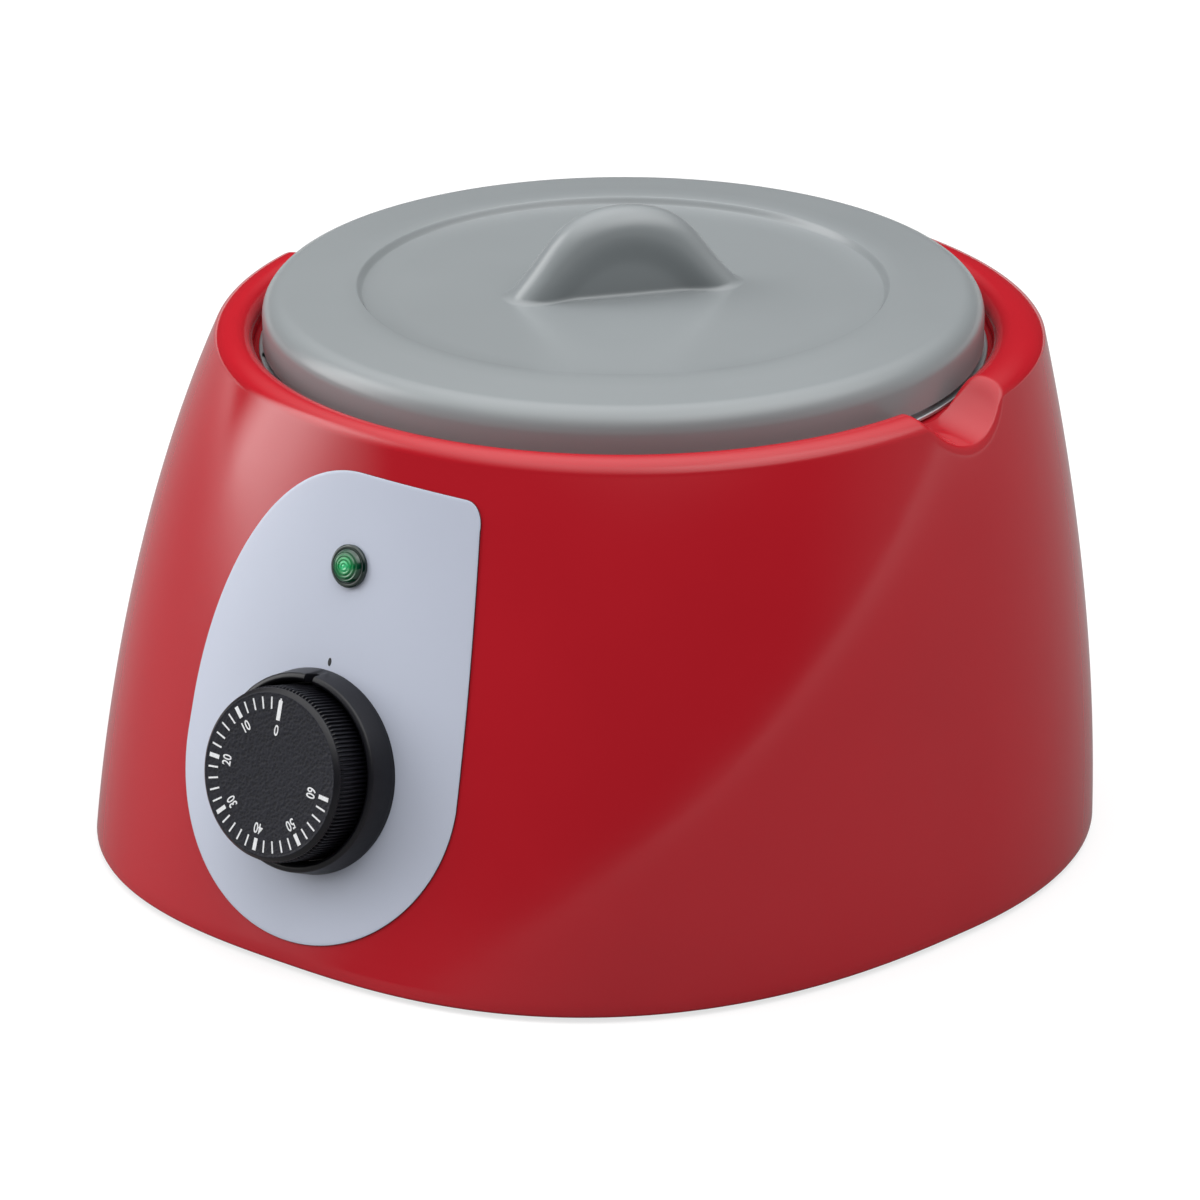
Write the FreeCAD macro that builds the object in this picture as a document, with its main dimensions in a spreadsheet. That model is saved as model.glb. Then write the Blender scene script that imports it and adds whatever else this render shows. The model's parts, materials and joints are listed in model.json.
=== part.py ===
import FreeCAD, Part
import Sketcher
import math
import os
from types import SimpleNamespace

# Table-top melter that keeps chocolate warm: a moulded casing round a heated well, with a lift-out
# pan and lid. Millimetres and degrees, +Z up, +X to the right seen from the front. The origin is on
# the table, half way between the knob's face and the end of the cord entry. In the functions below,
# places count from the pan's axis at the casing's lower edge, which the feet hold above the table.
Vector = FreeCAD.Vector
Placement = FreeCAD.Placement
Rotation = FreeCAD.Rotation
UP = Vector(0, 0, 1)

doc = FreeCAD.newDocument("ChocolateMelter")
sheet = doc.addObject("Spreadsheet::Sheet", "Sizes")

DRIVING = {
    # casing outline at its lower edge, at mid height and at the rim
    "FootLift": 1.5,
    "Wall": 3.0,
    "BaseHalfWidth": 140.0,
    "MiddleHalfWidth": 134.5,
    "BaseFront": 156.2,
    "MiddleFront": 137.3,
    "BaseBack": 127.5,
    "MiddleBack": 125.0,
    "BaseCentre": 19.9,
    "MiddleCentre": 8.9,
    "BaseSquareness": 2.64,
    "MiddleSquareness": 2.70,
    "BaseTaper": 0.11,
    "MiddleTaper": 0.09,
    "MiddleLevel": 68.0,
    "PanelTilt": 15.5,
    # rim, shelf and finger scoops
    "BeadRadius": 5.25,
    "BeadCentreRadius": 112.4,
    "BeadLevel": 143.4,
    "ShelfLevel": 140.5,
    "ShelfThickness": 3.0,
    "ShelfHoleRadius": 98.0,
    "ScoopRadius": 20.0,
    "ScoopSlope": 32.0,
    "ScoopDepth": 14.7,
    # pan, well and lid
    "SheetMetal": 1.0,
    "WellSheet": 1.2,
    "PanFlangeRadius": 103.5,
    "PanMouthRadius": 91.0,
    "PanFloorRadius": 86.0,
    "PanDepth": 75.0,
    "PanCorner": 12.0,
    "WellGap": 1.0,
    "WellFlangeRadius": 105.5,
    "LidRadius": 105.0,
    "LidHeight": 16.7,
    "LidEdgeRound": 11.0,
    "LidWall": 2.5,
    "LidDiscRadius": 74.2,
    "LidDiscDrop": 1.5,
    "LidSpigot": 5.0,
    "LidSpigotGap": 1.0,
    "HandleLength": 68.8,
    "HandleHeight": 25.5,
    "HandleThickness": 15.0,
    "HandleCrest": 7.0,
    "HandleRound": 3.5,
    "HandleDish": 3.0,
    "HandleTurn": 52.6,
    # front label, knob, bezel and thermostat
    "LabelThickness": 0.5,
    "LabelGlue": 0.05,
    "LabelRadius": 49.0,
    "LabelTop": 85.9,
    "LabelFlatStart": 2.0,
    "LabelFlatEnd": 36.0,
    "LabelRightTop": 41.4,
    "LabelCorner": 8.0,
    "KnobLevel": 53.9,
    "KnobRadius": 24.25,
    "KnobFaceHeight": 19.4,
    "KnobWall": 2.2,
    "KnobBevel": 1.2,
    "KnobLift": 0.8,
    "HubRadius": 6.0,
    "BezelRadius": 29.05,
    "BezelTopRadius": 28.0,
    "BezelHeight": 8.8,
    "BezelFloor": 1.5,
    "BezelGap": 1.0,
    "PointerWidth": 2.2,
    "ShaftRadius": 3.0,
    "ShaftFlat": 1.6,
    "ShaftPlay": 0.05,
    "BushRadius": 5.0,
    "PanelPadDepth": 6.0,
    "PanelPadRadius": 23.0,
    "ThermostatPitch": 28.0,
    "ThermostatWidth": 34.0,
    "ThermostatTall": 36.0,
    "ThermostatDepth": 25.0,
    "BracketSheet": 1.5,
    # pilot lamp
    "LampRise": 59.5,
    "LampPlace": 2.4,
    "LampRadius": 4.9,
    "LampFlangeRadius": 6.1,
    "LampDomeHeight": 3.4,
    "LampBodyDepth": 17.0,
    "LampPadDepth": 5.0,
    "LampSeatGap": 0.1,
    # heating
    "BandWidth": 26.0,
    "BandThickness": 2.5,
    "BandLevel": 76.0,
    "InsulationThickness": 7.0,
    "InsulationHeight": 40.0,
    "BulbRadius": 3.0,
    "BulbLength": 52.0,
    "CapillaryRadius": 1.0,
    "CutoutRadius": 8.0,
    # base, feet and cord entry
    "PlateRecess": 3.0,
    "PlateThickness": 2.0,
    "PlateGap": 0.4,
    "TerminalPlace": 70.0,
    "TerminalPitch": 10.0,
    "TerminalTowerWidth": 7.6,
    "TerminalTrayLength": 42.0,
    "TerminalTrayHeight": 10.0,
    "TerminalFixingPlace": 17.0,
    "BossRadius": 5.0,
    "BossHeight": 18.0,
    "ScrewRadius": 1.75,
    "FootRadius": 10.0,
    "FootCircle": 102.0,
    "GlandLevel": 24.0,
    "GlandThreadRadius": 8.0,
    "GlandBoreRadius": 4.0,
    "GlandBodyBoreRadius": 5.0,
    "GlandLipLength": 5.0,
    "GlandCapEnd": 17.0,
    "HoleGap": 0.2,
}


class Size:
    # a number that carries the sheet formula it was worked out with
    def __init__(self, value, formula):
        self.value = float(value)
        self.formula = formula

    def __float__(self):
        return self.value

    def __neg__(self):
        return Size(-self.value, f"(-{self.formula})")

    def __add__(self, other):
        return Size(self.value + float(other), f"({self.formula} + {formula_of(other)})")

    def __radd__(self, other):
        return Size(float(other) + self.value, f"({formula_of(other)} + {self.formula})")

    def __sub__(self, other):
        return Size(self.value - float(other), f"({self.formula} - {formula_of(other)})")

    def __rsub__(self, other):
        return Size(float(other) - self.value, f"({formula_of(other)} - {self.formula})")

    def __mul__(self, other):
        return Size(self.value * float(other), f"({self.formula} * {formula_of(other)})")

    def __rmul__(self, other):
        return Size(float(other) * self.value, f"({formula_of(other)} * {self.formula})")

    def __truediv__(self, other):
        return Size(self.value / float(other), f"({self.formula} / {formula_of(other)})")


def formula_of(size):
    return size.formula if isinstance(size, Size) else str(float(size))


def fill_sheet():
    for row, (name, value) in enumerate(DRIVING.items(), 1):
        sheet.set(f"A{row}", name)
        sheet.set(f"B{row}", str(value))
        sheet.setAlias(f"B{row}", name)
    doc.recompute()
    return SimpleNamespace(**{name: Size(sheet.get(name), f"Sizes.{name}") for name in DRIVING})


S = fill_sheet()
nodes = []


def bind(item, path, size):
    setattr(item, path, float(size))
    if isinstance(size, Size):
        item.setExpression(path, size.formula)


def node(item, label):
    item.Label = label
    nodes.append(item)
    return item


def near(first, second, slack=1e-3):
    return abs(float(first) - float(second)) < slack


# Sketches and solids whose sizes follow the sheet
def plane_of(body, role):
    return next(item for item in body.Origin.OriginFeatures if item.Role == role)


def new_sketch(body, name, role):
    sketch = body.newObject("Sketcher::SketchObject", name)
    sketch.AttachmentSupport = [(plane_of(body, role), "")]
    sketch.MapMode = "FlatFace"
    return sketch


def hold(sketch, curve, end, place):
    # ties one sketch point to its two coordinates
    for kind, axis, size in (("DistanceX", -2, place[0]), ("DistanceY", -1, place[1])):
        if near(size, 0):
            sketch.addConstraint(Sketcher.Constraint("PointOnObject", curve, end, axis))
            continue
        index = sketch.addConstraint(Sketcher.Constraint(kind, -1, 1, curve, end, float(size)))
        if isinstance(size, Size):
            sketch.setExpression(f"Constraints[{index}]", size.formula)


def add_polygon(sketch, places):
    corners = [Vector(float(x), float(y), 0) for x, y in places]
    first = sketch.GeometryCount
    count = len(corners)
    for i in range(count):
        sketch.addGeometry(Part.LineSegment(corners[i], corners[(i + 1) % count]), False)
    for i in range(count):
        sketch.addConstraint(Sketcher.Constraint("Coincident", first + i, 2, first + (i + 1) % count, 1))
    for i in range(count):
        hold(sketch, first + i, 1, places[i])


def add_circle(sketch, place, radius):
    centre = Vector(float(place[0]), float(place[1]), 0)
    index = sketch.addGeometry(Part.Circle(centre, UP, float(radius)), False)
    constraint = sketch.addConstraint(Sketcher.Constraint("Radius", index, float(radius)))
    if isinstance(radius, Size):
        sketch.setExpression(f"Constraints[{constraint}]", radius.formula)
    hold(sketch, index, 3, place)


def new_body(name):
    return doc.addObject("PartDesign::Body", name)


def turned(name, places, angle=360):
    # solid of revolution about Z, from a profile of (radius, height) corners
    body = new_body(name)
    sketch = new_sketch(body, name + "_profile", "XZ_Plane")
    add_polygon(sketch, places)
    turn = body.newObject("PartDesign::Revolution", name + "_turn")
    turn.Profile = sketch
    turn.ReferenceAxis = (sketch, ["V_Axis"])
    turn.Angle = angle
    body.Tip = turn
    doc.recompute()
    return body


def padded(name, places, height, holes=()):
    # flat outline in XY raised along Z, with round holes given as (place, radius)
    body = new_body(name)
    sketch = new_sketch(body, name + "_outline", "XY_Plane")
    add_polygon(sketch, places)
    for place, radius in holes:
        add_circle(sketch, place, radius)
    pad = body.newObject("PartDesign::Pad", name + "_pad")
    pad.Profile = sketch
    bind(pad, "Length", height)
    body.Tip = pad
    doc.recompute()
    return body


def rectangle(width, tall):
    return [(-width / 2, -tall / 2), (width / 2, -tall / 2), (width / 2, tall / 2), (-width / 2, tall / 2)]


def round_edges(body, radius, chosen):
    # fillets the edges of the body for which chosen(edge) is true
    base = body.Tip
    names = [f"Edge{i}" for i, edge in enumerate(base.Shape.Edges, 1) if chosen(edge)]
    fillet = body.newObject("PartDesign::Fillet", f"{body.Name}_round")
    fillet.Base = (base, names)
    bind(fillet, "Radius", radius)
    body.Tip = fillet
    doc.recompute()


def ring(radius, level):
    def chosen(edge):
        curve = edge.Curve
        return isinstance(curve, Part.Circle) and near(curve.Radius, radius) and near(curve.Center.z, level)
    return chosen


def upright(edge):
    first, last = edge.Vertexes[0].Point, edge.Vertexes[-1].Point
    return near(first.x, last.x) and near(first.y, last.y) and not near(first.z, last.z)


def rod(name, radius, length, place):
    cylinder = doc.addObject("Part::Cylinder", name)
    bind(cylinder, "Radius", radius)
    bind(cylinder, "Height", length)
    cylinder.Placement = place
    return cylinder


def block(name, width, tall, depth, place):
    # box centred on the place in its X and Y, and standing on it in Z
    box = doc.addObject("Part::Box", name)
    bind(box, "Length", width)
    bind(box, "Width", tall)
    bind(box, "Height", depth)
    box.Placement = place.multiply(Placement(Vector(-float(width) / 2, -float(tall) / 2, 0), Rotation()))
    return box


def hexagon(name, radius, height, place):
    prism = doc.addObject("Part::Prism", name)
    prism.Polygon = 6
    bind(prism, "Circumradius", radius)
    bind(prism, "Height", height)
    prism.Placement = place
    return prism


def fuse(name, items):
    union = doc.addObject("Part::MultiFuse", name)
    union.Shapes = items
    union.Refine = True
    return union


def cut(name, base, tools):
    difference = doc.addObject("Part::Cut", name)
    difference.Base = base
    difference.Tool = tools[0] if len(tools) == 1 else fuse(name + "_tools", tools)
    return difference


def fixed_shape(name, shape, place):
    feature = doc.addObject("Part::Feature", name)
    feature.Shape = shape
    feature.Placement = place
    return feature


def copies(name, master, places):
    # one group of separate solids, each a copy of the master
    doc.recompute()
    plain = master.Shape.copy()
    plain.Placement = Placement()
    group = [plain.copy() for place in places]
    for shape, place in zip(group, places):
        shape.Placement = place
    return fixed_shape(name, Part.makeCompound(group), Placement())


# Places: at a point of the casing frame, and on the sloping front
def casing_origin():
    # the foot of the pan's axis, seen from the middle of the machine's overall length
    lean = wall_lean()
    face, radius = float(S.KnobFaceHeight), float(S.KnobRadius - S.KnobBevel)
    foremost = front_at(S.KnobLevel) - face * math.cos(lean) - radius * math.sin(lean)
    rearmost = gland_seat() + float(S.GlandCapEnd)
    return Vector(0, -(foremost + rearmost) / 2, float(S.FootLift))


def at(x, y, z, rotation=Rotation()):
    return Placement(Vector(float(x), float(y), float(z)) + casing_origin(), rotation)


def parabola(low, middle, top, level):
    # value at a level, on the parabola through the values at the edge, mid height and the rim
    one, two, height = float(S.MiddleLevel), float(rim_level()), float(level)
    share_low = (height - one) * (height - two) / (one * two)
    share_middle = height * (height - two) / (one * (one - two))
    share_top = height * (height - one) / (two * (two - one))
    return float(low) * share_low + float(middle) * share_middle + float(top) * share_top


def wall_lean():
    return math.radians(float(S.PanelTilt))


def rim_level():
    # where the wall runs into the rounded bead of the rim
    return S.BeadLevel + S.BeadRadius * math.sin(wall_lean())


def rim_radius():
    return S.BeadCentreRadius + S.BeadRadius * math.cos(wall_lean())


def front_at(level):
    return -parabola(S.BaseFront, S.MiddleFront, rim_radius(), level)


def back_at(level):
    return parabola(S.BaseBack, S.MiddleBack, rim_radius(), level)


def section_point(angle, level, inset):
    # point of the casing's outline: a superellipse with a squarer front half that narrows forward
    half_width = parabola(S.BaseHalfWidth, S.MiddleHalfWidth, rim_radius(), level) - inset
    centre = -parabola(S.BaseCentre, S.MiddleCentre, 0, level)
    squareness = parabola(S.BaseSquareness, S.MiddleSquareness, 2, level) if math.sin(angle) < 0 else 2
    taper = parabola(S.BaseTaper, S.MiddleTaper, 0, level)
    cosine, sine = math.cos(angle), math.sin(angle)
    reach = (abs(cosine) ** squareness + abs(sine) ** squareness) ** (-1 / squareness)
    length = centre - front_at(level) - inset if sine < 0 else back_at(level) - centre - inset
    along = length * reach * sine
    across = half_width * reach * cosine * (1 + taper * along / float(S.BaseBack))
    return Vector(across, centre + along, float(level))


def section_wire(level, inset):
    if near(level, rim_level()):
        circle = Part.makeCircle(float(rim_radius()) - inset, Vector(0, 0, float(level)), UP)
        circle.rotate(Vector(0, 0, 0), UP, 90)
        return Part.Wire(circle)
    count = 40
    start = math.pi / 2
    points = [section_point(start + 2 * math.pi * i / count, level, inset) for i in range(count)]
    curve = Part.BSplineCurve()
    curve.interpolate(Points=points, PeriodicFlag=True)
    return Part.Wire(curve.toShape())


def casing_loft(low, high, inset):
    bands = 4
    levels = [float(low) + (float(high) - float(low)) * i / bands for i in range(bands + 1)]
    return Part.makeLoft([section_wire(level, float(inset)) for level in levels], True, False)


def panel_frame():
    # the middle of the knob on the sloping front: local Z points out of the wall, local Y up it
    turn = Rotation(Vector(1, 0, 0), 90 - float(S.PanelTilt))
    return at(0, front_at(S.KnobLevel), S.KnobLevel, turn)


def on_panel(x, y, z):
    return panel_frame().multiply(Placement(Vector(float(x), float(y), float(z)), Rotation()))


def in_casing(place):
    return Placement(place.Base - casing_origin(), place.Rotation)


def solid_rod(radius, length, place):
    rod_shape = Part.makeCylinder(float(radius), float(length))
    rod_shape.Placement = place
    return rod_shape


# Casing: moulded shell with rim bead, shelf, finger scoops, bosses and seats
def bead_shape():
    lean = wall_lean()
    radius, middle, level = float(S.BeadRadius), float(S.BeadCentreRadius), float(S.BeadLevel)
    shelf, rim = float(S.ShelfLevel), float(rim_level())
    outer = Vector(middle + radius * math.cos(lean), 0, rim)
    crown = Vector(middle, 0, level + radius)
    inner = Vector(middle - radius, 0, level)
    corners = [inner, Vector(middle - radius, 0, shelf), Vector(middle, 0, shelf), Vector(middle, 0, rim),
               outer]
    edges = [Part.Arc(outer, crown, inner).toShape()]
    edges += [Part.makeLine(first, last) for first, last in zip(corners, corners[1:])]
    return Part.Face(Part.Wire(edges)).revolve(Vector(0, 0, 0), UP, 360)


def scoop_tool(side, extra):
    # round cutter that slopes down and outwards across the rim, bottoming at the scoop's depth
    slope = math.radians(float(S.ScoopSlope))
    radius = float(S.ScoopRadius)
    outside = float(rim_radius()) + 1.5
    bottom = float(S.BeadLevel + S.BeadRadius - S.ScoopDepth)
    direction = Vector(side * math.cos(slope), 0, -math.sin(slope))
    across = Vector(side * math.sin(slope), 0, math.cos(slope))
    middle = Vector(side * outside, 0, bottom) + across * radius
    length = 60.0
    start = middle - direction * (length / 2)
    return Part.makeCylinder(radius + float(extra), length, start, direction)


def boss_places():
    # six screw bosses just inside the wall, at the level of the base plate
    inset = float(S.Wall + S.BossRadius) - 1.5
    level = S.PlateRecess + S.PlateThickness
    return [section_point(math.radians(60 * i), level, inset) for i in range(6)]


def well_screw_places():
    radius = float(S.ShelfHoleRadius + S.WellFlangeRadius) / 2
    return [Vector(radius * math.cos(math.radians(a)), radius * math.sin(math.radians(a)), 0)
            for a in (45, 135, 225, 315)]


def gland_seat():
    # outer face of the flat that carries the cable gland at the back
    return back_at(S.GlandLevel) - 0.8


def casing_shape():
    rim = float(rim_level())
    shelf = float(S.ShelfLevel)
    under_shelf = shelf - float(S.ShelfThickness)
    outer = casing_loft(0, rim, 0)
    below = Part.makeCylinder(float(S.BeadCentreRadius), 30, Vector(0, 0, shelf))
    whole = outer.cut(below).fuse(bead_shape())
    cavity = casing_loft(0, under_shelf, S.Wall)
    shell = whole.cut(cavity)
    guards = [scoop_tool(side, S.Wall).common(whole) for side in (-1, 1)]
    depth = float(S.BossHeight)
    floor = float(S.PlateRecess + S.PlateThickness)
    bosses = [Part.makeCylinder(float(S.BossRadius), depth, place) for place in boss_places()]
    bosses += [Part.makeCylinder(4.0, 10.0, Vector(place.x, place.y, under_shelf - 10.0))
               for place in well_screw_places()]
    pads = [solid_rod(S.PanelPadRadius, 20, in_casing(on_panel(0, 0, -S.PanelPadDepth)))]
    pads.append(solid_rod(S.LampRadius + 5, 20, in_casing(on_panel(S.LampPlace, S.LampRise, -lamp_pad_depth()))))
    seat = gland_seat()
    back = Rotation(Vector(1, 0, 0), -90)
    level = float(S.GlandLevel)
    entry = S.GlandThreadRadius + S.HoleGap
    pads.append(solid_rod(S.GlandThreadRadius + 6, 20, Placement(Vector(0, seat - 4.5, level), back)))
    inside = [item.common(whole) for item in bosses + pads]
    shell = shell.fuse(guards + inside)
    tools = [scoop_tool(side, 0) for side in (-1, 1)]
    tools.append(Part.makeCylinder(float(S.ShelfHoleRadius), 20, Vector(0, 0, under_shelf - 5)))
    tools += [Part.makeCylinder(1.4, 14, Vector(place.x, place.y, floor)) for place in boss_places()]
    tools += [Part.makeCylinder(1.4, 12.0, Vector(place.x, place.y, shelf - 11.0))
              for place in well_screw_places()]
    tools.append(solid_rod(S.BushRadius + S.HoleGap, 40, in_casing(on_panel(0, 0, -20))))
    half = S.ThermostatPitch / 2
    tools += [solid_rod(2.0 + S.HoleGap, 40, in_casing(on_panel(x, 0, -20))) for x in (-half, half)]
    tools.append(solid_rod(S.LampRadius + S.HoleGap, 40, in_casing(on_panel(S.LampPlace, S.LampRise, -20))))
    tools.append(solid_rod(entry, 40, Placement(Vector(0, seat - 20, level), back)))
    tools.append(solid_rod(S.GlandThreadRadius + 6, 10, Placement(Vector(0, seat, level), back)))
    for tool in tools:
        shell = shell.cut(tool)
    return shell


def lamp_pad_depth():
    return S.LampPadDepth + lamp_drop()


def lamp_drop():
    # how far the wall falls behind the panel plane at the lamp
    place = in_casing(on_panel(S.LampPlace, S.LampRise, 0)).Base
    return (front_at(place.z) - place.y) * math.cos(wall_lean())


# Front label: thin film that follows the wall
def label_outline():
    radius, top = float(S.LabelRadius), float(S.LabelTop)
    start, end = float(S.LabelFlatStart), float(S.LabelFlatEnd)
    corner = float(S.LabelCorner)
    shoulder = Vector(float(S.LabelRightTop), top - corner, 0)
    turn = [Vector(start - (radius + start) * math.cos(math.radians(a)),
                   (top - corner) * math.sin(math.radians(a)) + corner, 0) for a in range(0, 91, 15)]
    left = Part.BSplineCurve()
    left.interpolate(Points=turn, InitialTangent=Vector(0, 1, 0), FinalTangent=Vector(1, 0, 0))
    bend = corner * (1 - math.sqrt(0.5))
    side = Vector((shoulder.x + radius) / 2 + 0.9, shoulder.y / 2, 0)
    edges = [
        left.toShape(),
        Part.makeLine(Vector(start, top, 0), Vector(end, top, 0)),
        Part.Arc(Vector(end, top, 0), Vector(shoulder.x - bend, top - bend, 0), shoulder).toShape(),
        Part.Arc(shoulder, side, Vector(radius, 0, 0)).toShape(),
        Part.Arc(Vector(radius, 0, 0), Vector(0, -radius, 0), Vector(-radius, 0, 0)).toShape(),
        Part.makeLine(Vector(-radius, 0, 0), Vector(-radius, corner, 0)),
    ]
    return Part.Wire(edges)


def label_shape():
    reach = 30.0
    prism = Part.Face(label_outline()).extrude(Vector(0, 0, reach))
    prism.Placement = in_casing(on_panel(0, 0, -reach + 8))
    film = casing_loft(0, rim_level(), -S.LabelThickness).cut(casing_loft(0, rim_level(), -S.LabelGlue))
    half = S.ThermostatPitch / 2
    holes = [solid_rod(S.BushRadius + S.HoleGap, 40, in_casing(on_panel(0, 0, -20)))]
    holes += [solid_rod(2.0 + S.HoleGap, 40, in_casing(on_panel(x, 0, -20))) for x in (-half, half)]
    holes.append(solid_rod(S.LampRadius + S.HoleGap, 40, in_casing(on_panel(S.LampPlace, S.LampRise, -20))))
    return film.common(prism).cut(holes)


def make_casing():
    node(fixed_shape("Casing", casing_shape(), at(0, 0, 0)), "casing")
    node(fixed_shape("FrontLabel", label_shape(), at(0, 0, 0)), "front_label")


# Heated well, pan and lid
def pan_top():
    return S.ShelfLevel + S.WellSheet + S.SheetMetal


def make_pan():
    top = pan_top()
    flange = top - S.SheetMetal
    floor = top - S.PanDepth
    mouth, heel, sheet_metal = S.PanMouthRadius, S.PanFloorRadius, S.SheetMetal
    pan = turned("MeltingPan", [
        (0, floor), (heel, floor), (mouth, flange), (S.PanFlangeRadius, flange), (S.PanFlangeRadius, top),
        (mouth - sheet_metal, top), (heel - sheet_metal, floor + sheet_metal), (0, floor + sheet_metal)])
    round_edges(pan, S.PanCorner + sheet_metal, ring(heel, floor))
    round_edges(pan, S.PanCorner, ring(heel - sheet_metal, floor + sheet_metal))
    round_edges(pan, 2 * sheet_metal, ring(mouth, flange))
    round_edges(pan, 3 * sheet_metal, ring(mouth - sheet_metal, top))
    pan.Placement = at(0, 0, 0)
    node(pan, "melting_pan")


def well_floor():
    return pan_top() - S.PanDepth - S.WellGap - S.WellSheet


def well_radius(level):
    # outer radius of the well's sloping wall
    low = S.PanFloorRadius + S.WellGap + S.WellSheet
    slope = (S.PanMouthRadius - S.PanFloorRadius) / (S.ShelfLevel - well_floor())
    return low + slope * (level - well_floor())


def stud_places():
    # welded studs under the well: a pair for the bulb clip, a pair for the cut-out
    return [(-14.0, -29.0), (-14.0, -11.0), (-12.0, 34.0), (12.0, 34.0)]


def make_well():
    floor, shelf, gauge = well_floor(), S.ShelfLevel, S.WellSheet
    heel = well_radius(floor)
    mouth = well_radius(shelf)
    well = turned("WellBowl", [
        (0, floor), (heel, floor), (mouth, shelf), (S.WellFlangeRadius, shelf),
        (S.WellFlangeRadius, shelf + gauge), (mouth - gauge, shelf + gauge), (heel - gauge, floor + gauge),
        (0, floor + gauge)])
    round_edges(well, S.PanCorner + S.WellGap + gauge, ring(heel, floor))
    round_edges(well, S.PanCorner + S.WellGap, ring(heel - gauge, floor + gauge))
    round_edges(well, 2 * gauge, ring(mouth, shelf))
    round_edges(well, 3 * gauge, ring(mouth - gauge, shelf + gauge))
    well.Placement = at(0, 0, 0)
    studs = [rod(f"WellStud{i}", 1.5, 7.0, at(x, y, floor - 7.0)) for i, (x, y) in enumerate(stud_places())]
    bowl = fuse("WellWithStuds", [well] + studs)
    sinks = []
    for i, place in enumerate(well_screw_places()):
        sink = doc.addObject("Part::Cone", f"WellSink{i}")
        bind(sink, "Radius1", 1.6)
        bind(sink, "Radius2", 3.2)
        bind(sink, "Height", gauge)
        sink.Placement = at(place.x, place.y, shelf)
        sinks.append(sink)
    node(cut("HeatingWell", bowl, sinks), "heating_well")
    screw = turned("WellScrew", [(0, -9.0), (1.4, -9.0), (1.4, 0), (1.6, 0), (3.2, gauge), (0, gauge)])
    places = [at(place.x, place.y, shelf) for place in well_screw_places()]
    node(copies("WellScrews", screw, places), "well_screws")
    nut = hexagon("StudNut", 3.1, 2.4, Placement())
    thin = 1.0
    nuts = [at(x, y, floor - thin - 2.4) for x, y in stud_places()]
    bored = cut("StudNutBored", nut, [rod("StudNutBore", 1.5, 2.4, Placement())])
    node(copies("StudNuts", bored, nuts), "stud_nuts")


def handle_shape():
    # half-moon fin with a broad rounded crest and dished sides
    length, height, thick = float(S.HandleLength), float(S.HandleHeight), float(S.HandleThickness)
    radius = (length * length / 4 + height * height) / (2 * height)
    seat = float(pan_top() + S.LidHeight - S.LidDiscDrop)
    centre = Vector(0, thick / 2, seat + height - radius)
    moon = Part.makeCylinder(radius, thick, centre, Vector(0, -1, 0))
    crest_edges = [edge for edge in moon.Edges if isinstance(edge.Curve, Part.Circle)]
    moon = moon.makeFillet(float(S.HandleRound), crest_edges)
    dish = radius - float(S.HandleCrest)
    depth = float(S.HandleDish)
    for side in (-1, 1):
        face = Vector(0, side * thick / 2, centre.z)
        pocket = Part.makeCone(dish, dish - depth, depth, face, Vector(0, -side, 0))
        moon = moon.cut(pocket)
    sunk = 1.0
    keep = Part.makeBox(2 * length, 2 * thick, 2 * height, Vector(-length, -thick, seat - sunk))
    return moon.common(keep)


def make_lid():
    bottom = pan_top()
    top = bottom + S.LidHeight
    disc, drop, wall = S.LidDiscRadius, S.LidDiscDrop, S.LidWall
    spigot = S.PanMouthRadius - S.SheetMetal - S.LidSpigotGap - 0.5
    tip = bottom - S.LidSpigot
    lid = turned("LidShell", [
        (0, top - drop), (disc - drop / 2, top - drop), (disc + drop / 2, top), (S.LidRadius, top),
        (S.LidRadius, bottom), (S.LidRadius - wall, bottom), (S.LidRadius - wall, top - wall),
        (spigot, top - wall), (spigot, tip), (spigot - 2.0, tip), (spigot - 2.0, top - drop - wall),
        (0, top - drop - wall)])
    round_edges(lid, S.LidEdgeRound, ring(S.LidRadius, top))
    round_edges(lid, S.LidEdgeRound - wall, ring(S.LidRadius - wall, top - wall))
    lid.Placement = at(0, 0, 0)
    turn = Rotation(UP, float(S.HandleTurn))
    handle = fixed_shape("LidHandle", handle_shape(), at(0, 0, 0, turn))
    node(fuse("Lid", [lid, handle]), "lid")


# Heating band, insulation, bulb and cut-out
def band_profile(low, high, inner, thickness):
    return [(well_radius(low) + inner, low), (well_radius(low) + inner + thickness, low),
            (well_radius(high) + inner + thickness, high), (well_radius(high) + inner, high)]


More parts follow.
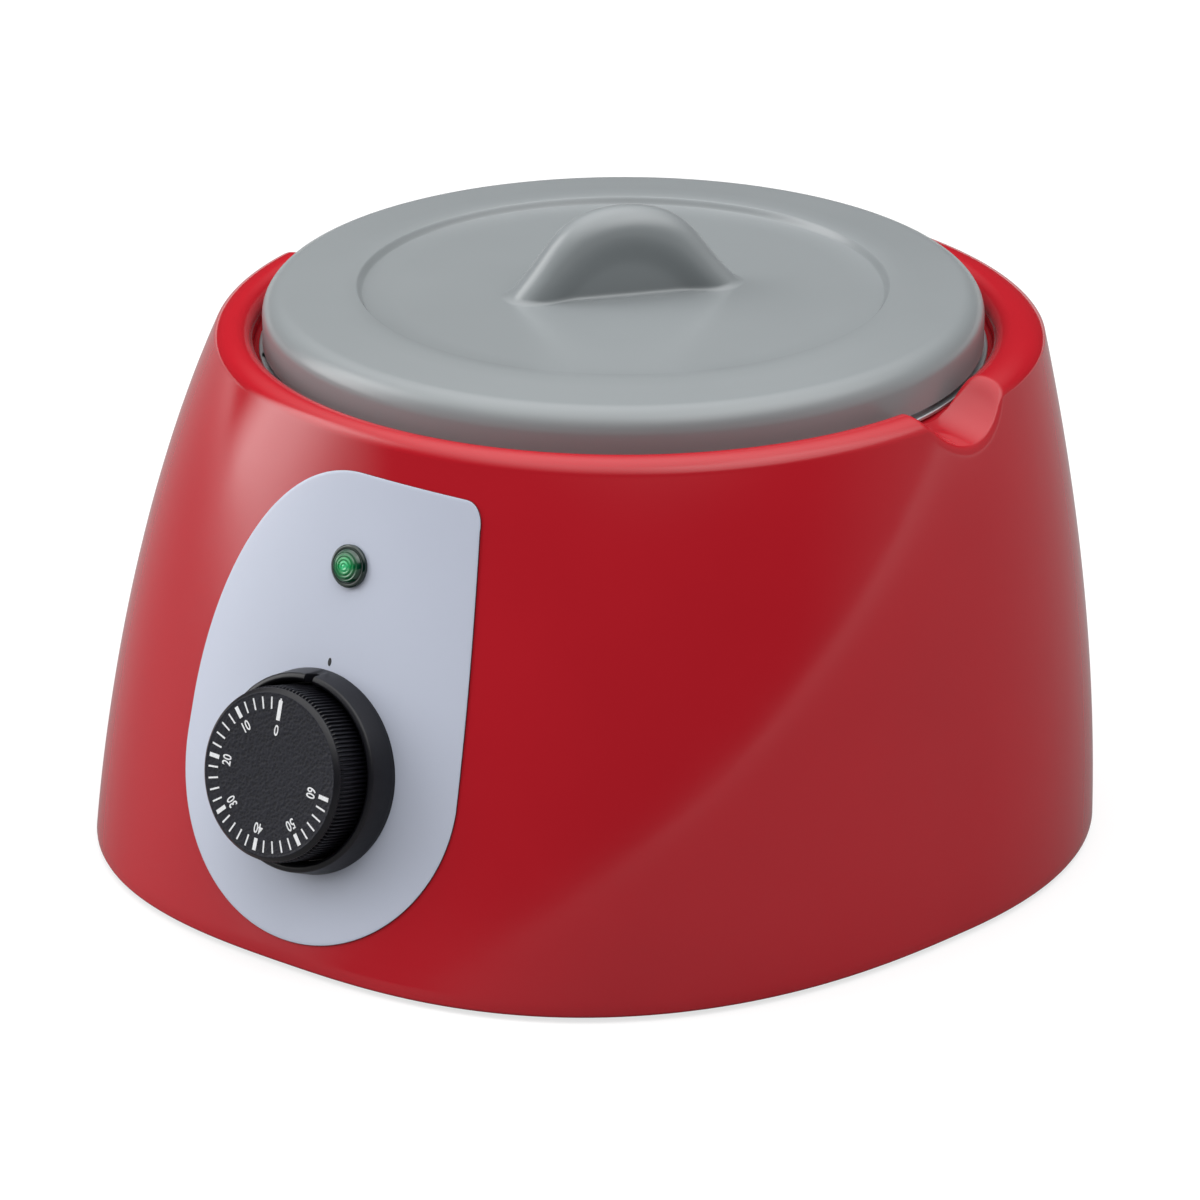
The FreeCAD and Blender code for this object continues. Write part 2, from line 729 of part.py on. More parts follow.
def make_heating():
    low = S.BandLevel
    high = low + S.BandWidth
    gap = 20
    band = turned("BandRing", band_profile(low, high, 0, S.BandThickness), 360 - gap)
    band.Placement = at(0, 0, 0, Rotation(UP, 90 + gap / 2))
    middle = float((low + high) / 2)
    reach = float(well_radius(middle) + S.BandThickness / 2)
    side = reach * math.sin(math.radians(gap / 2 + 0.5))
    foot = math.sqrt(reach * reach - side * side)
    ears = [block(f"BandEar{i}", 2.0, 12.0, 12.0, at(x, foot + 6.0, middle - 6.0))
            for i, x in enumerate((-side, side))]
    across = Rotation(Vector(0, 1, 0), 90)
    axis = foot + 8.0
    hole = rod("BandEarHole", 2.0, 2 * side + 4.0, at(-side - 2.0, axis, middle, across))
    node(cut("HeaterBand", fuse("BandWithEars", [band] + ears), [hole]), "heater_band")
    screw = [rod("BandScrewShank", 2.0, 2 * side + 7.0, at(-side - 1.0, axis, middle, across)),
             rod("BandScrewHead", 3.5, 2.5, at(-side - 3.5, axis, middle, across))]
    node(fuse("BandScrew", screw), "band_screw")
    nut_place = at(side + 1.0, axis, middle, across)
    nut = hexagon("BandNutBlank", 4.0, 3.2, nut_place)
    node(cut("BandNut", nut, [rod("BandNutBore", 2.0, 3.2, nut_place)]), "band_nut")
    window = 50
    bottom = low - 4.0
    wrap = turned("InsulationWrap", band_profile(bottom, bottom + S.InsulationHeight, S.BandThickness,
                                                S.InsulationThickness), 360 - window)
    wrap.Placement = at(0, 0, 0, Rotation(UP, 90 + window / 2))
    node(wrap, "insulation_wrap")


def bulb_axis():
    return (-20.0, well_floor() - S.BulbRadius)


def make_bulb():
    y, level = bulb_axis()
    across = Rotation(Vector(0, 1, 0), 90)
    node(rod("SensorBulb", S.BulbRadius, S.BulbLength, at(-40.0, y, level, across)), "sensor_bulb")
    floor = well_floor()
    sheet_metal = 1.0
    width = 10.0
    outside = S.BulbRadius + sheet_metal
    plate = block("ClipPlate", width, 26.0, sheet_metal, at(-14.0, y, floor - sheet_metal))
    arch = rod("ClipArch", outside, width, at(-14.0 - width / 2, y, level, across))
    legs = block("ClipLegs", width, 2 * outside, S.BulbRadius, at(-14.0, y, level))
    room = rod("ClipRoom", S.BulbRadius, width, at(-14.0 - width / 2, y, level, across))
    gap = block("ClipGap", width, 2 * S.BulbRadius, outside, at(-14.0, y, level))
    holes = [rod(f"ClipHole{i}", 1.5, sheet_metal, at(-14.0, y + side * 9.0, floor - sheet_metal))
             for i, side in enumerate((-1, 1))]
    node(cut("BulbClip", fuse("ClipSolid", [plate, arch, legs]), [room, gap] + holes), "bulb_clip")


def make_cutout():
    floor = well_floor()
    plate = block("CutoutPlate", 32.0, 9.0, 1.0, at(0, 34.0, floor - 1.0))
    can = rod("CutoutCan", S.CutoutRadius, 8.0, at(0, 34.0, floor - 9.0))
    blades = [block(f"CutoutBlade{i}", 0.8, 6.3, 9.0, at(x, 34.0, floor - 18.0))
              for i, x in enumerate((-4.0, 4.0))]
    holes = [rod(f"CutoutHole{i}", 1.5, 1.0, at(x, 34.0, floor - 1.0)) for i, x in enumerate((-12.0, 12.0))]
    node(cut("ThermalCutout", fuse("CutoutSolid", [plate, can] + blades), holes), "thermal_cutout")


def tube_shape(points, radius):
    # tube along straight runs joined by tangent arcs
    runs = [last - first for first, last in zip(points, points[1:])]
    edges = []
    start = points[0]
    for i in range(1, len(points) - 1):
        before, after = runs[i - 1], runs[i]
        half_turn = before.getAngle(after) / 2
        back = 0.45 * min(before.Length, after.Length)
        bend = back / math.tan(half_turn)
        enter = points[i] - before.normalize() * back
        leave = points[i] + Vector(after).normalize() * back
        inward = (enter + leave) * 0.5 - points[i]
        middle = points[i] + Vector(inward).normalize() * (bend / math.cos(half_turn) - bend)
        edges.append(Part.makeLine(start, enter))
        edges.append(Part.Arc(enter, middle, leave).toShape())
        start = leave
        print("tube bend radius", round(bend, 1))
    edges.append(Part.makeLine(start, points[-1]))
    path = Part.Wire(edges)
    ring_wire = Part.Wire(Part.makeCircle(float(radius), points[0], points[1] - points[0]))
    return path.makePipe(Part.Face(ring_wire))


def make_capillary():
    back = thermostat_back()
    start = in_casing(on_panel(10, 10, -back)).Base
    leave = in_casing(on_panel(10, 10, -back - 14)).Base
    y, level = bulb_axis()
    height = float(level)
    end = Vector(-40.0 + float(S.BulbLength), y, height)
    points = [start, leave, Vector(20, -66, height - 14), Vector(33, -40, height - 9),
              Vector(27, y, height), end]
    node(fixed_shape("CapillaryTube", tube_shape(points, S.CapillaryRadius), at(0, 0, 0)), "capillary_tube")


# Thermostat behind the front wall
def thermostat_back():
    return S.PanelPadDepth + S.BracketSheet + S.ThermostatDepth


def make_thermostat():
    face = S.PanelPadDepth + S.BracketSheet
    back = thermostat_back()
    case = padded("ThermostatCase", rectangle(S.ThermostatWidth, S.ThermostatTall), S.ThermostatDepth)
    round_edges(case, 3.0, upright)
    case.Placement = on_panel(0, 0, -back)
    bush = rod("ThermostatBush", S.BushRadius, face - 1.0, on_panel(0, 0, -face))
    bores = [rod("ThermostatBore", S.ShaftRadius + S.ShaftPlay, face + 12.0, on_panel(0, 0, -face - 12.0))]
    half = S.ThermostatPitch / 2
    bores += [rod(f"ThermostatTap{i}", 2.0, 4.0, on_panel(x, 0, -face - 4.0))
              for i, x in enumerate((-half, half))]
    node(cut("ThermostatBody", fuse("ThermostatSolid", [case, bush]), bores), "thermostat_body")
    outline = rectangle(S.ThermostatPitch + 12.0, S.ThermostatTall - 8.0)
    plate = padded("ThermostatPlate", outline, S.BracketSheet,
                   [((0, 0), S.BushRadius), ((-half, 0), 2.0), ((half, 0), 2.0)])
    round_edges(plate, 4.0, upright)
    plate.Placement = on_panel(0, 0, -face)
    node(plate, "thermostat_plate")
    blades = [block(f"ThermostatBlade{i}", 6.3, 0.8, 9.0, on_panel(x, y, -back - 9.0))
              for i, (x, y) in enumerate(((-9, 8), (-9, -8), (9, -8)))]
    doc.recompute()
    group = doc.addObject("Part::Compound", "ThermostatTerminals")
    group.Links = blades
    node(group, "thermostat_terminals")
    shaft = rod("ShaftRound", S.ShaftRadius, hub_top() + face + 8.0, on_panel(0, 0, -face - 8.0))
    flat_place = on_panel(0, S.ShaftRadius - S.ShaftFlat + 2.0, hub_top() - 10.0)
    flat = block("ShaftFlatCut", 10.0, 4.0, 14.0, flat_place)
    node(cut("ThermostatShaft", shaft, [flat]), "thermostat_shaft")
    head = 2.0 + S.BezelFloor + S.LabelThickness
    screw = turned("ThermostatScrew", [
        (0, -face - 3.0), (2.0, -face - 3.0), (2.0, bezel_floor_top()), (3.6, bezel_floor_top()),
        (3.6, head + 0.2), (0, head + 0.2)])
    node(copies("ThermostatScrews", screw, [on_panel(x, 0, 0) for x in (-half, half)]), "thermostat_screws")


# Knob and its fixed ring
def bezel_floor_top():
    return S.LabelThickness + S.BezelFloor


def knob_bottom():
    return bezel_floor_top() + S.KnobLift


def hub_top():
    return S.KnobFaceHeight - S.KnobWall - 2.0


def make_bezel():
    floor_top = bezel_floor_top()
    low = -3.0
    inner = S.KnobRadius + S.BezelGap
    solid = turned("BezelRing", [
        (S.HubRadius + 1.5, low), (S.BezelRadius, low), (S.BezelRadius, S.LabelThickness + 0.6),
        (S.BezelTopRadius, S.BezelHeight - 1.0), (S.BezelTopRadius - 1.0, S.BezelHeight),
        (inner, S.BezelHeight - 1.2), (inner, floor_top), (S.HubRadius + 1.5, floor_top)])
    solid.Placement = on_panel(0, 0, 0)
    film = fixed_shape("LabelSurface", casing_loft(0, rim_level(), -S.LabelThickness), at(0, 0, 0))
    half = S.ThermostatPitch / 2
    holes = [rod(f"BezelHole{i}", 2.0 + S.HoleGap, 20, on_panel(x, 0, -10))
             for i, x in enumerate((-half, half))]
    middle = (S.BezelTopRadius + inner) / 2
    slot = block("BezelPointer", S.PointerWidth, 8.0, 6.0, on_panel(0, middle, S.BezelHeight - 4.5))
    node(cut("KnobBezel", solid, [film, slot] + holes), "knob_bezel")


def make_knob():
    bottom, top = knob_bottom(), S.KnobFaceHeight
    inner = S.KnobRadius - S.KnobWall
    ceiling = top - S.KnobWall
    knob = turned("KnobShell", [
        (0, top), (S.KnobRadius - S.KnobBevel, top), (S.KnobRadius, top - S.KnobBevel),
        (S.KnobRadius, bottom), (inner, bottom), (inner, ceiling), (S.HubRadius, ceiling),
        (S.HubRadius, bottom), (0, bottom)])
    knob.Placement = on_panel(0, 0, 0)
    bore = rod("KnobBore", S.ShaftRadius, hub_top() - bottom, on_panel(0, 0, bottom))
    key_place = on_panel(0, S.ShaftRadius - S.ShaftFlat + 2.0, hub_top() - 10.0)
    key = block("KnobKey", 10.0, 4.0, hub_top(), key_place)
    node(cut("Knob", knob, [cut("KnobDBore", bore, [key])]), "knob")
    spring = turned("KnobSpring", [
        (S.HubRadius, bottom + 1.0), (S.HubRadius + 0.5, bottom + 1.0), (S.HubRadius + 0.5, bottom + 4.0),
        (S.HubRadius, bottom + 4.0)], 320)
    spring.Placement = on_panel(0, 0, 0)
    node(spring, "knob_spring")


# Pilot lamp
def make_lamp():
    drop = float(lamp_drop())
    surface = S.LabelThickness + S.LampSeatGap - drop
    place = on_panel(S.LampPlace, S.LampRise, 0)
    rim = S.LampFlangeRadius
    lens = turned("LampLens", [
        (0, surface), (rim, surface), (rim, surface + 1.2), (rim - 1.2, surface + 1.2),
        (rim - 2.2, surface + S.LampDomeHeight - 0.8), (rim - 3.6, surface + S.LampDomeHeight),
        (0, surface + S.LampDomeHeight)])
    lens.Placement = place
    node(lens, "pilot_lamp_lens")
    body = turned("LampBody", [
        (0, -drop - S.LampBodyDepth), (S.LampRadius - 0.6, -drop - S.LampBodyDepth),
        (S.LampRadius, -drop - S.LampBodyDepth + 0.6), (S.LampRadius, surface), (0, surface)])
    body.Placement = place
    blades = [block(f"LampBlade{i}", 0.8, 4.8, 6.0, on_panel(S.LampPlace + x, S.LampRise, -drop - S.LampBodyDepth - 6.0))
              for i, x in enumerate((-2.2, 2.2))]
    node(fuse("LampBodySolid", [body] + blades), "pilot_lamp_body")
    nut_place = on_panel(S.LampPlace, S.LampRise, -lamp_pad_depth() - 3.0)
    nut = hexagon("LampNutBlank", 8.0, 3.0, nut_place)
    node(cut("LampNut", nut, [rod("LampNutBore", S.LampRadius, 3.0, nut_place)]), "pilot_lamp_nut")


# Base plate, its screws, feet and what stands on it
def foot_places():
    radius = float(S.FootCircle)
    return [Vector(radius * math.cos(math.radians(a)), radius * math.sin(math.radians(a)), 0)
            for a in (40, 140, 230, 310)]


def slot_tool(x, y, length, width, low, high):
    straight, depth = length - width, high - low
    round_ends = [Part.makeCylinder(width / 2, depth, Vector(x + side * straight / 2, y, low))
                  for side in (-1, 1)]
    bar = Part.makeBox(straight, width, depth, Vector(x - straight / 2, y - width / 2, low))
    return bar.fuse(round_ends)


def plate_shape():
    low, thick = float(S.PlateRecess), float(S.PlateThickness)
    outline = section_wire(low, float(S.Wall + S.PlateGap))
    plate = Part.Face(outline).extrude(Vector(0, 0, thick))
    tools = [Part.makeCylinder(float(S.ScrewRadius) + 0.2, thick, Vector(place.x, place.y, low))
             for place in boss_places()]
    tools += [Part.makeCylinder(1.6, thick, Vector(place.x, place.y, low)) for place in foot_places()]
    tools += [slot_tool(x, y, 34, 3.2, low, low + thick) for x in (-38, 38) for y in range(-56, 29, 12)]
    tools.append(Part.makeCylinder(2.0, thick, Vector(48, 78, low)))
    row, fixing = float(S.TerminalPlace), float(S.TerminalFixingPlace)
    tools += [Part.makeCylinder(1.4, thick, Vector(x, row, low)) for x in (-fixing, fixing)]
    return plate.cut(tools)


def make_base():
    low, thick = S.PlateRecess, S.PlateThickness
    node(fixed_shape("BasePlate", plate_shape(), at(0, 0, 0)), "base_plate")
    top = low + thick
    screw = turned("BaseScrew", [
        (0, -2.0), (2.4, -2.0), (3.2, -1.2), (3.2, 0), (1.4, 0), (1.4, 11.0), (0.6, 13.0), (0, 13.0)])
    node(copies("BaseScrews", screw, [at(p.x, p.y, low) for p in boss_places()]), "base_screws")
    high = S.PlateRecess + S.FootLift
    foot = turned("Foot", [
        (4.0, 0), (S.FootRadius - 1.5, 0), (S.FootRadius, high), (1.6, high), (1.6, 2.6), (4.0, 2.6)])
    node(copies("RubberFeet", foot, [at(p.x, p.y, -S.FootLift) for p in foot_places()]), "rubber_feet")
    foot_screw = turned("FootScrew", [
        (0, 0.8), (2.8, 0.8), (2.8, 2.6), (1.5, 2.6), (1.5, high + thick + 4.0), (0, high + thick + 4.0)])
    feet = foot_places()
    node(copies("FootScrews", foot_screw, [at(p.x, p.y, -S.FootLift) for p in feet]), "foot_screws")
    blank = hexagon("FootNutBlank", 3.1, 2.4, Placement())
    nut = cut("FootNut", blank, [rod("FootNutBore", 1.5, 2.4, Placement())])
    node(copies("FootNuts", nut, [at(p.x, p.y, top) for p in feet]), "foot_nuts")
    row, tray_high = S.TerminalPlace, S.TerminalTrayHeight
    tray = block("TerminalBase", S.TerminalTrayLength, 12.0, tray_high, at(0, row, top))
    ways = list(enumerate((-S.TerminalPitch, 0, S.TerminalPitch)))
    ends = (-S.TerminalFixingPlace, S.TerminalFixingPlace)
    towers = [block(f"TerminalTower{i}", S.TerminalTowerWidth, 18.0, 16.0, at(x, row, top)) for i, x in ways]
    wells = [rod(f"TerminalWell{i}", 2.2, 7.0, at(x, row, top + 9.0)) for i, x in ways]
    wells += [rod(f"TerminalHole{i}", 1.6, tray_high, at(x, row, top)) for i, x in enumerate(ends)]
    into = Rotation(Vector(1, 0, 0), -90)
    wells += [rod(f"TerminalMouth{i}", 1.8, 18.0, at(x, row - 9.0, top + 5.0, into)) for i, x in ways]
    node(cut("TerminalBlock", fuse("TerminalSolid", [tray] + towers), wells), "terminal_block")
    pinch = turned("PinchScrew", [(0, 0), (2.1, 0), (2.1, 3.0), (0, 3.0)])
    node(copies("TerminalScrews", pinch, [at(x, row, top + 9.0) for i, x in ways]), "terminal_screws")
    fixing = turned("TerminalFixing", [
        (0, -thick), (1.4, -thick), (1.4, tray_high), (2.6, tray_high), (2.6, tray_high + 2.0),
        (0, tray_high + 2.0)])
    node(copies("TerminalFixings", fixing, [at(x, row, top) for x in ends]), "terminal_fixings")
    shank = rod("EarthShank", 2.0, 16.0, at(48, 78, low))
    head = rod("EarthHead", 3.6, 1.6, at(48, 78, low - 1.6))
    node(fuse("EarthStud", [shank, head]), "earth_stud")
    blank = hexagon("EarthNutBlank", 4.0, 3.2, Placement())
    earth = cut("EarthNut", blank, [rod("EarthBore", 2.0, 3.2, Placement())])
    node(copies("EarthNuts", earth, [at(48, 78, top), at(48, 78, top + 4.4)]), "earth_nuts")


# Cord entry at the back
def make_gland():
    seat, level = gland_seat(), S.GlandLevel
    outward = Rotation(Vector(1, 0, 0), -90)
    thread, bore = S.GlandThreadRadius, S.GlandBoreRadius
    inside = 12.0
    end = S.GlandCapEnd
    lip = end - S.GlandLipLength
    flange = hexagon("GlandFlange", thread + 4.5, 5.0, at(0, seat, level, outward))
    neck = rod("GlandNeck", thread, inside + lip, at(0, seat - inside, level, outward))
    hole = rod("GlandBore", S.GlandBodyBoreRadius, inside + lip, at(0, seat - inside, level, outward))
    node(cut("CableGland", fuse("GlandSolid", [flange, neck]), [hole]), "cable_gland")
    cap = turned("GlandCap", [
        (thread, 5.0), (thread + 3.4, 5.0), (thread + 3.4, lip - 1.0), (thread + 0.6, end - 2.0),
        (bore + 1.2, end), (bore, end), (bore, lip), (thread, lip)])
    cap.Placement = at(0, seat, level, outward)
    node(cap, "gland_cap")
    wall = 4.5
    nut_place = at(0, seat - wall - 4.0, level, outward)
    nut = hexagon("GlandNutBlank", thread + 4.5, 4.0, nut_place)
    node(cut("GlandNut", nut, [rod("GlandNutBore", thread, 4.0, nut_place)]), "gland_nut")


def check_and_write():
    doc.recompute()
    failed = [item.Label for item in doc.Objects if {"Invalid", "Error"} & set(item.State)]
    if failed:
        raise RuntimeError(f"failed objects: {failed}")
    for item in nodes:
        if item.Shape.isNull() or not item.Shape.isValid() or not item.Shape.Solids:
            raise RuntimeError(f"bad shape: {item.Label}")
    os.makedirs("parts", exist_ok=True)
    for item in nodes:
        item.Shape.exportStep(f"parts/{item.Label}.step")
        print(item.Label, len(item.Shape.Solids), "solids", round(item.Shape.Volume / 1000, 2), "cm3")


make_casing()
make_pan()
make_well()
make_lid()
make_heating()
make_bulb()
make_cutout()
make_thermostat()
make_capillary()
make_bezel()
make_knob()
make_lamp()
make_base()
make_gland()
check_and_write()
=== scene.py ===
import bpy
import bmesh
import json
import math
import numpy as np
from mathutils import Matrix, Vector

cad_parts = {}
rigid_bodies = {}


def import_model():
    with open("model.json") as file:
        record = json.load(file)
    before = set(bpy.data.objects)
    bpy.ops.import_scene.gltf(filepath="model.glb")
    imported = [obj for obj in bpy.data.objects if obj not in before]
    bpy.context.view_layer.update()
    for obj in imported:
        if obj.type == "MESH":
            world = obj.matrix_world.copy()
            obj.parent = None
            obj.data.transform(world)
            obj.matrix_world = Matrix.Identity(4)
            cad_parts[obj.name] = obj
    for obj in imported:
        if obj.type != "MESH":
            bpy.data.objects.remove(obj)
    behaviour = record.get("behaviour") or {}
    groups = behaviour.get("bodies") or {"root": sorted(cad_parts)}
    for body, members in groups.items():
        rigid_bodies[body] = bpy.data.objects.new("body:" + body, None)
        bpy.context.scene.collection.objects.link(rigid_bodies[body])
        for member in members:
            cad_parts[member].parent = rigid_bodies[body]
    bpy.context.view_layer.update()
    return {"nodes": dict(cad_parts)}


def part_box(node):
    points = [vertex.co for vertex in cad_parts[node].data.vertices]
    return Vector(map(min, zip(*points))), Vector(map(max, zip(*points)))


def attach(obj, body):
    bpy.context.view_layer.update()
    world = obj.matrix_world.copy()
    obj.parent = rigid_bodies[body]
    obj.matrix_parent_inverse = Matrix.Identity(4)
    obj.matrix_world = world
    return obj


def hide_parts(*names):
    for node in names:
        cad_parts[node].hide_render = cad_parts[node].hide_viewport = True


for leftover in list(bpy.data.objects):
    bpy.data.objects.remove(leftover)
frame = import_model()

# Millimetres below are counted from the pan's axis at the casing's lower edge.
mm = 0.001
panLow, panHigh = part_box("melting_pan")
axisPlace = Vector((0, (panLow.y + panHigh.y) / 2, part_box("casing")[0].z))
print("frame loaded, pan axis at", tuple(round(value, 5) for value in axisPlace))


def tint(red, green, blue):
    # a colour given as it looks on a screen, 0 to 255
    return tuple((c / 255 / 12.92 if c / 255 <= 0.04045 else ((c / 255 + 0.055) / 1.055) ** 2.4)
                 for c in (red, green, blue)) + (1.0,)


# Node trees, for finishes, light and repeats
class Wire:
    def __init__(self, kit, socket):
        self.kit, self.socket = kit, socket

    def __add__(self, other):
        return self.kit.math("ADD", self, other)

    def __sub__(self, other):
        return self.kit.math("SUBTRACT", self, other)

    def __mul__(self, other):
        return self.kit.math("MULTIPLY", self, other)


class Nodes:
    def __init__(self, tree):
        self.tree = tree

    def add(self, kind, settings=None, values=(), output=0):
        node = self.tree.nodes.new(kind)
        for key, value in (settings or {}).items():
            setattr(node, key, value)
        pairs = values.items() if isinstance(values, dict) else enumerate(values)
        for key, value in pairs:
            if isinstance(value, Wire):
                self.tree.links.new(value.socket, node.inputs[key])
            else:
                node.inputs[key].default_value = value
        return Wire(self, node.outputs[output])

    def math(self, operation, *values):
        return self.add("ShaderNodeMath", {"operation": operation}, values)

    def vector(self, operation, *values, output=0):
        return self.add("ShaderNodeVectorMath", {"operation": operation}, values, output)

    def step(self, value, low, high, start=0.0, end=1.0):
        return self.add("ShaderNodeMapRange", {"interpolation_type": "SMOOTHSTEP"},
                        {"Value": value, "From Min": low, "From Max": high, "To Min": start, "To Max": end})


class Finish(Nodes):
    def __init__(self, name, **constants):
        self.material = bpy.data.materials.new(name)
        self.material.use_nodes = True
        super().__init__(self.material.node_tree)
        self.shader = self.tree.nodes["Principled BSDF"]
        for key, value in constants.items():
            self.shader.inputs[key.replace("_", " ")].default_value = value

    def feed(self, name, wire):
        self.tree.links.new(wire.socket, self.shader.inputs[name])

    def place(self):
        return self.add("ShaderNodeTexCoord", output="Object")

    def radius(self):
        # distance from the pan's axis, in metres
        flat = self.vector("MULTIPLY", self.vector("SUBTRACT", self.place(), (0, axisPlace.y, 0)), (1, 1, 0))
        return self.vector("LENGTH", flat, output="Value")

    def noise(self, scale, detail=2.0, roughness=0.5, place=None):
        return self.add("ShaderNodeTexNoise", None, {
            "Vector": place or self.place(), "Scale": scale, "Detail": detail, "Roughness": roughness})

    def blend(self, factor, first, second):
        return self.add("ShaderNodeMix", {"data_type": "RGBA"}, {0: factor, 6: first, 7: second}, 2)

    def ramp(self, factor, stops):
        made = self.add("ShaderNodeValToRGB", None, [factor], "Color")
        elements = made.socket.node.color_ramp.elements
        while len(elements) < len(stops):
            elements.new(0.5)
        for element, (position, shade) in zip(elements, stops):
            element.position, element.color = position, tint(*shade)
        return made

    def dress(self, colour, roughness, height, depth):
        # colour is a wire, or a factor with its limits and two colours; roughness has two values there
        if isinstance(colour, tuple):
            factor, low, high, first, second = colour
            colour = self.blend(self.step(factor, low, high), first, second)
        self.feed("Base Color", colour)
        if roughness:
            self.feed("Roughness", self.step(*roughness))
        self.feed("Normal", self.add("ShaderNodeBump", None, {"Distance": depth, "Height": height}))
        return self


def darker(colour, share):
    return tuple(share * value for value in colour[:3]) + (1.0,)


# Finishes; plastics take their colours as on a screen, and a grain is its size and depth in metres
def glossyPlastic(name, deep, bright, roughness, grain=(0.0009, 0.00005), scuffs=0.05, ior=1.5, detail=2.0):
    # moulded plastic: faint pigment drift, handling haze and a slight orange peel
    finish = Finish(name, IOR=ior)
    size, depth = grain
    return finish.dress((finish.noise(9.0, 3.0, 0.6), 0.3, 0.7, tint(*deep), tint(*bright)),
                        (finish.noise(28.0, 5.0, 0.7), 0.35, 0.75, roughness, roughness + scuffs),
                        finish.noise(1 / size, detail, 0.45), depth)


def grainedPlastic(name, deep, bright, roughness, grain):
    # textured moulding: leather-like cells over fine noise
    finish = Finish(name, IOR=1.36)
    size, depth = grain
    cells = finish.add("ShaderNodeTexVoronoi", {"feature": "SMOOTH_F1"},
                       {"Vector": finish.place(), "Scale": 1 / size, "Smoothness": 0.6})
    fine = finish.noise(3.2 / size, 3.0, 0.6)
    height = cells * 0.7 + fine * 0.3
    return finish.dress((height, 0.15, 0.6, tint(*deep), tint(*bright)),
                        (fine, 0.3, 0.7, roughness, roughness + 0.12), height, depth)


def spunMetal(name, colour, roughness, depth, fine=9000.0):
    # turned or spun sheet: fine circles about the axis, on floors and up walls, with faint smears
    finish = Finish(name, Metallic=1.0)
    level = finish.add("ShaderNodeSeparateXYZ", values=[finish.place()], output=2)
    lines = finish.add("ShaderNodeTexNoise", {"noise_dimensions": "1D"},
                       {"W": (finish.radius() + level * 0.83) * fine, "Scale": 1.0, "Detail": 3.0})
    smear = finish.noise(26.0, 3.0, 0.55)
    return finish.dress((lines * 0.6 + smear * 0.4, 0.35, 0.65, darker(colour, 0.9), colour),
                        (smear * 0.6 + lines * 0.4, 0.3, 0.7, roughness, roughness + 0.08), lines, depth)


def platedMetal(name, colour, roughness, size=0.0009, depth=0.00002):
    finish = Finish(name, Metallic=1.0)
    cloud, grain = finish.noise(60.0, 5.0, 0.65), finish.noise(1 / size, 3.0, 0.6)
    return finish.dress((cloud, 0.35, 0.7, darker(colour, 0.72), colour),
                        (cloud, 0.3, 0.7, roughness, roughness + 0.18), grain, depth)


def woolFinish():
    finish = Finish("mineralWool", Roughness=0.95)
    fibres = finish.noise(420.0, 6.0, 0.75, finish.vector("MULTIPLY", finish.place(), (1, 1, 3.5)))
    clumps = finish.noise(55.0, 3.0, 0.6)
    shades = ((0.2, (150, 138, 112)), (0.5, (205, 197, 174)), (0.8, (232, 228, 214)))
    return finish.dress(finish.ramp(fibres * 0.7 + clumps * 0.3, shades), None, fibres, 0.0006)


def filmFinish():
    # printed polyester film: even satin surface with a fine emboss
    finish = Finish("labelFilm", IOR=1.5)
    return finish.dress((finish.noise(12.0), 0.3, 0.7, tint(191, 197, 213), tint(193, 199, 215)),
                        (finish.noise(40.0, 3.0), 0.3, 0.7, 0.34, 0.38), finish.noise(2600.0), 0.00001)


def inkFinish(name, colour):
    finish = Finish(name)
    wear = finish.noise(1500.0, 4.0, 0.7)
    return finish.dress((wear, 0.3, 0.6, darker(colour, 0.86), colour), (wear, 0.3, 0.7, 0.4, 0.55), wear,
                        0.00001)


casingFinish = {"deep": (176, 27, 38), "bright": (181, 29, 40), "roughness": 0.1,
                "grain": (0.0064, 0.000008), "scuffs": 0.03, "ior": 1.44}
lidFinish = {"deep": (135, 140, 142), "bright": (138, 143, 145), "roughness": 0.25,
             "grain": (0.02, 0.00002), "detail": 0.0, "scuffs": 0.02}
knobFinish = {"deep": (8, 8, 15), "bright": (24, 25, 35), "roughness": 0.5, "grain": (0.0009, 0.0002)}

redGloss = glossyPlastic("redGlossPlastic", **casingFinish)
redInside = glossyPlastic("redMouldedInside", (150, 14, 24), (165, 18, 28), 0.42, (0.0012, 0.00006))
greySatin = glossyPlastic("greySatinPlastic", **lidFinish)
blackGrain = grainedPlastic("blackGrainedPlastic", **knobFinish)
blackSmooth = glossyPlastic("blackSmoothPlastic", (10, 10, 14), (18, 18, 24), 0.34,
                            (0.0011, 0.00003), scuffs=0.1, ior=1.4)
phenolicBlack = glossyPlastic("blackPhenolic", (24, 23, 24), (36, 34, 34), 0.4)
phenolicBrown = glossyPlastic("brownPhenolic", (58, 34, 24), (74, 44, 30), 0.36)
nylonWhite = glossyPlastic("whiteNylon", (214, 210, 196), (226, 223, 210), 0.42, (0.0014, 0.00005))
nylonBlack = glossyPlastic("blackNylon", (24, 24, 26), (36, 36, 38), 0.4, (0.001, 0.00006))
footRubber = grainedPlastic("footRubber", (22, 22, 22), (40, 40, 40), 0.72, (0.0006, 0.00006))
panSteel = spunMetal("spunPanSteel", (0.66, 0.67, 0.68, 1.0), 0.2, 0.000003)
wellAluminium = spunMetal("spunAluminium", (0.62, 0.63, 0.65, 1.0), 0.32, 0.000008, fine=4000.0)
zincSteel = platedMetal("zincSteel", (0.58, 0.59, 0.6, 1.0), 0.3)
bandSteel = platedMetal("bandSteel", (0.46, 0.46, 0.47, 1.0), 0.38)
brass = platedMetal("brass", (0.72, 0.53, 0.24, 1.0), 0.28)
copper = platedMetal("copper", (0.76, 0.42, 0.28, 1.0), 0.3)
basePlating = platedMetal("basePlating", (0.47, 0.49, 0.5, 1.0), 0.36, 0.0022, 0.00003)
wool = woolFinish()
labelFilm = filmFinish()
# the film's edge faces and underside are painted dark red-brown: a painted shadow line round the label
filmEdge = inkFinish("filmEdge", tint(70, 22, 30))
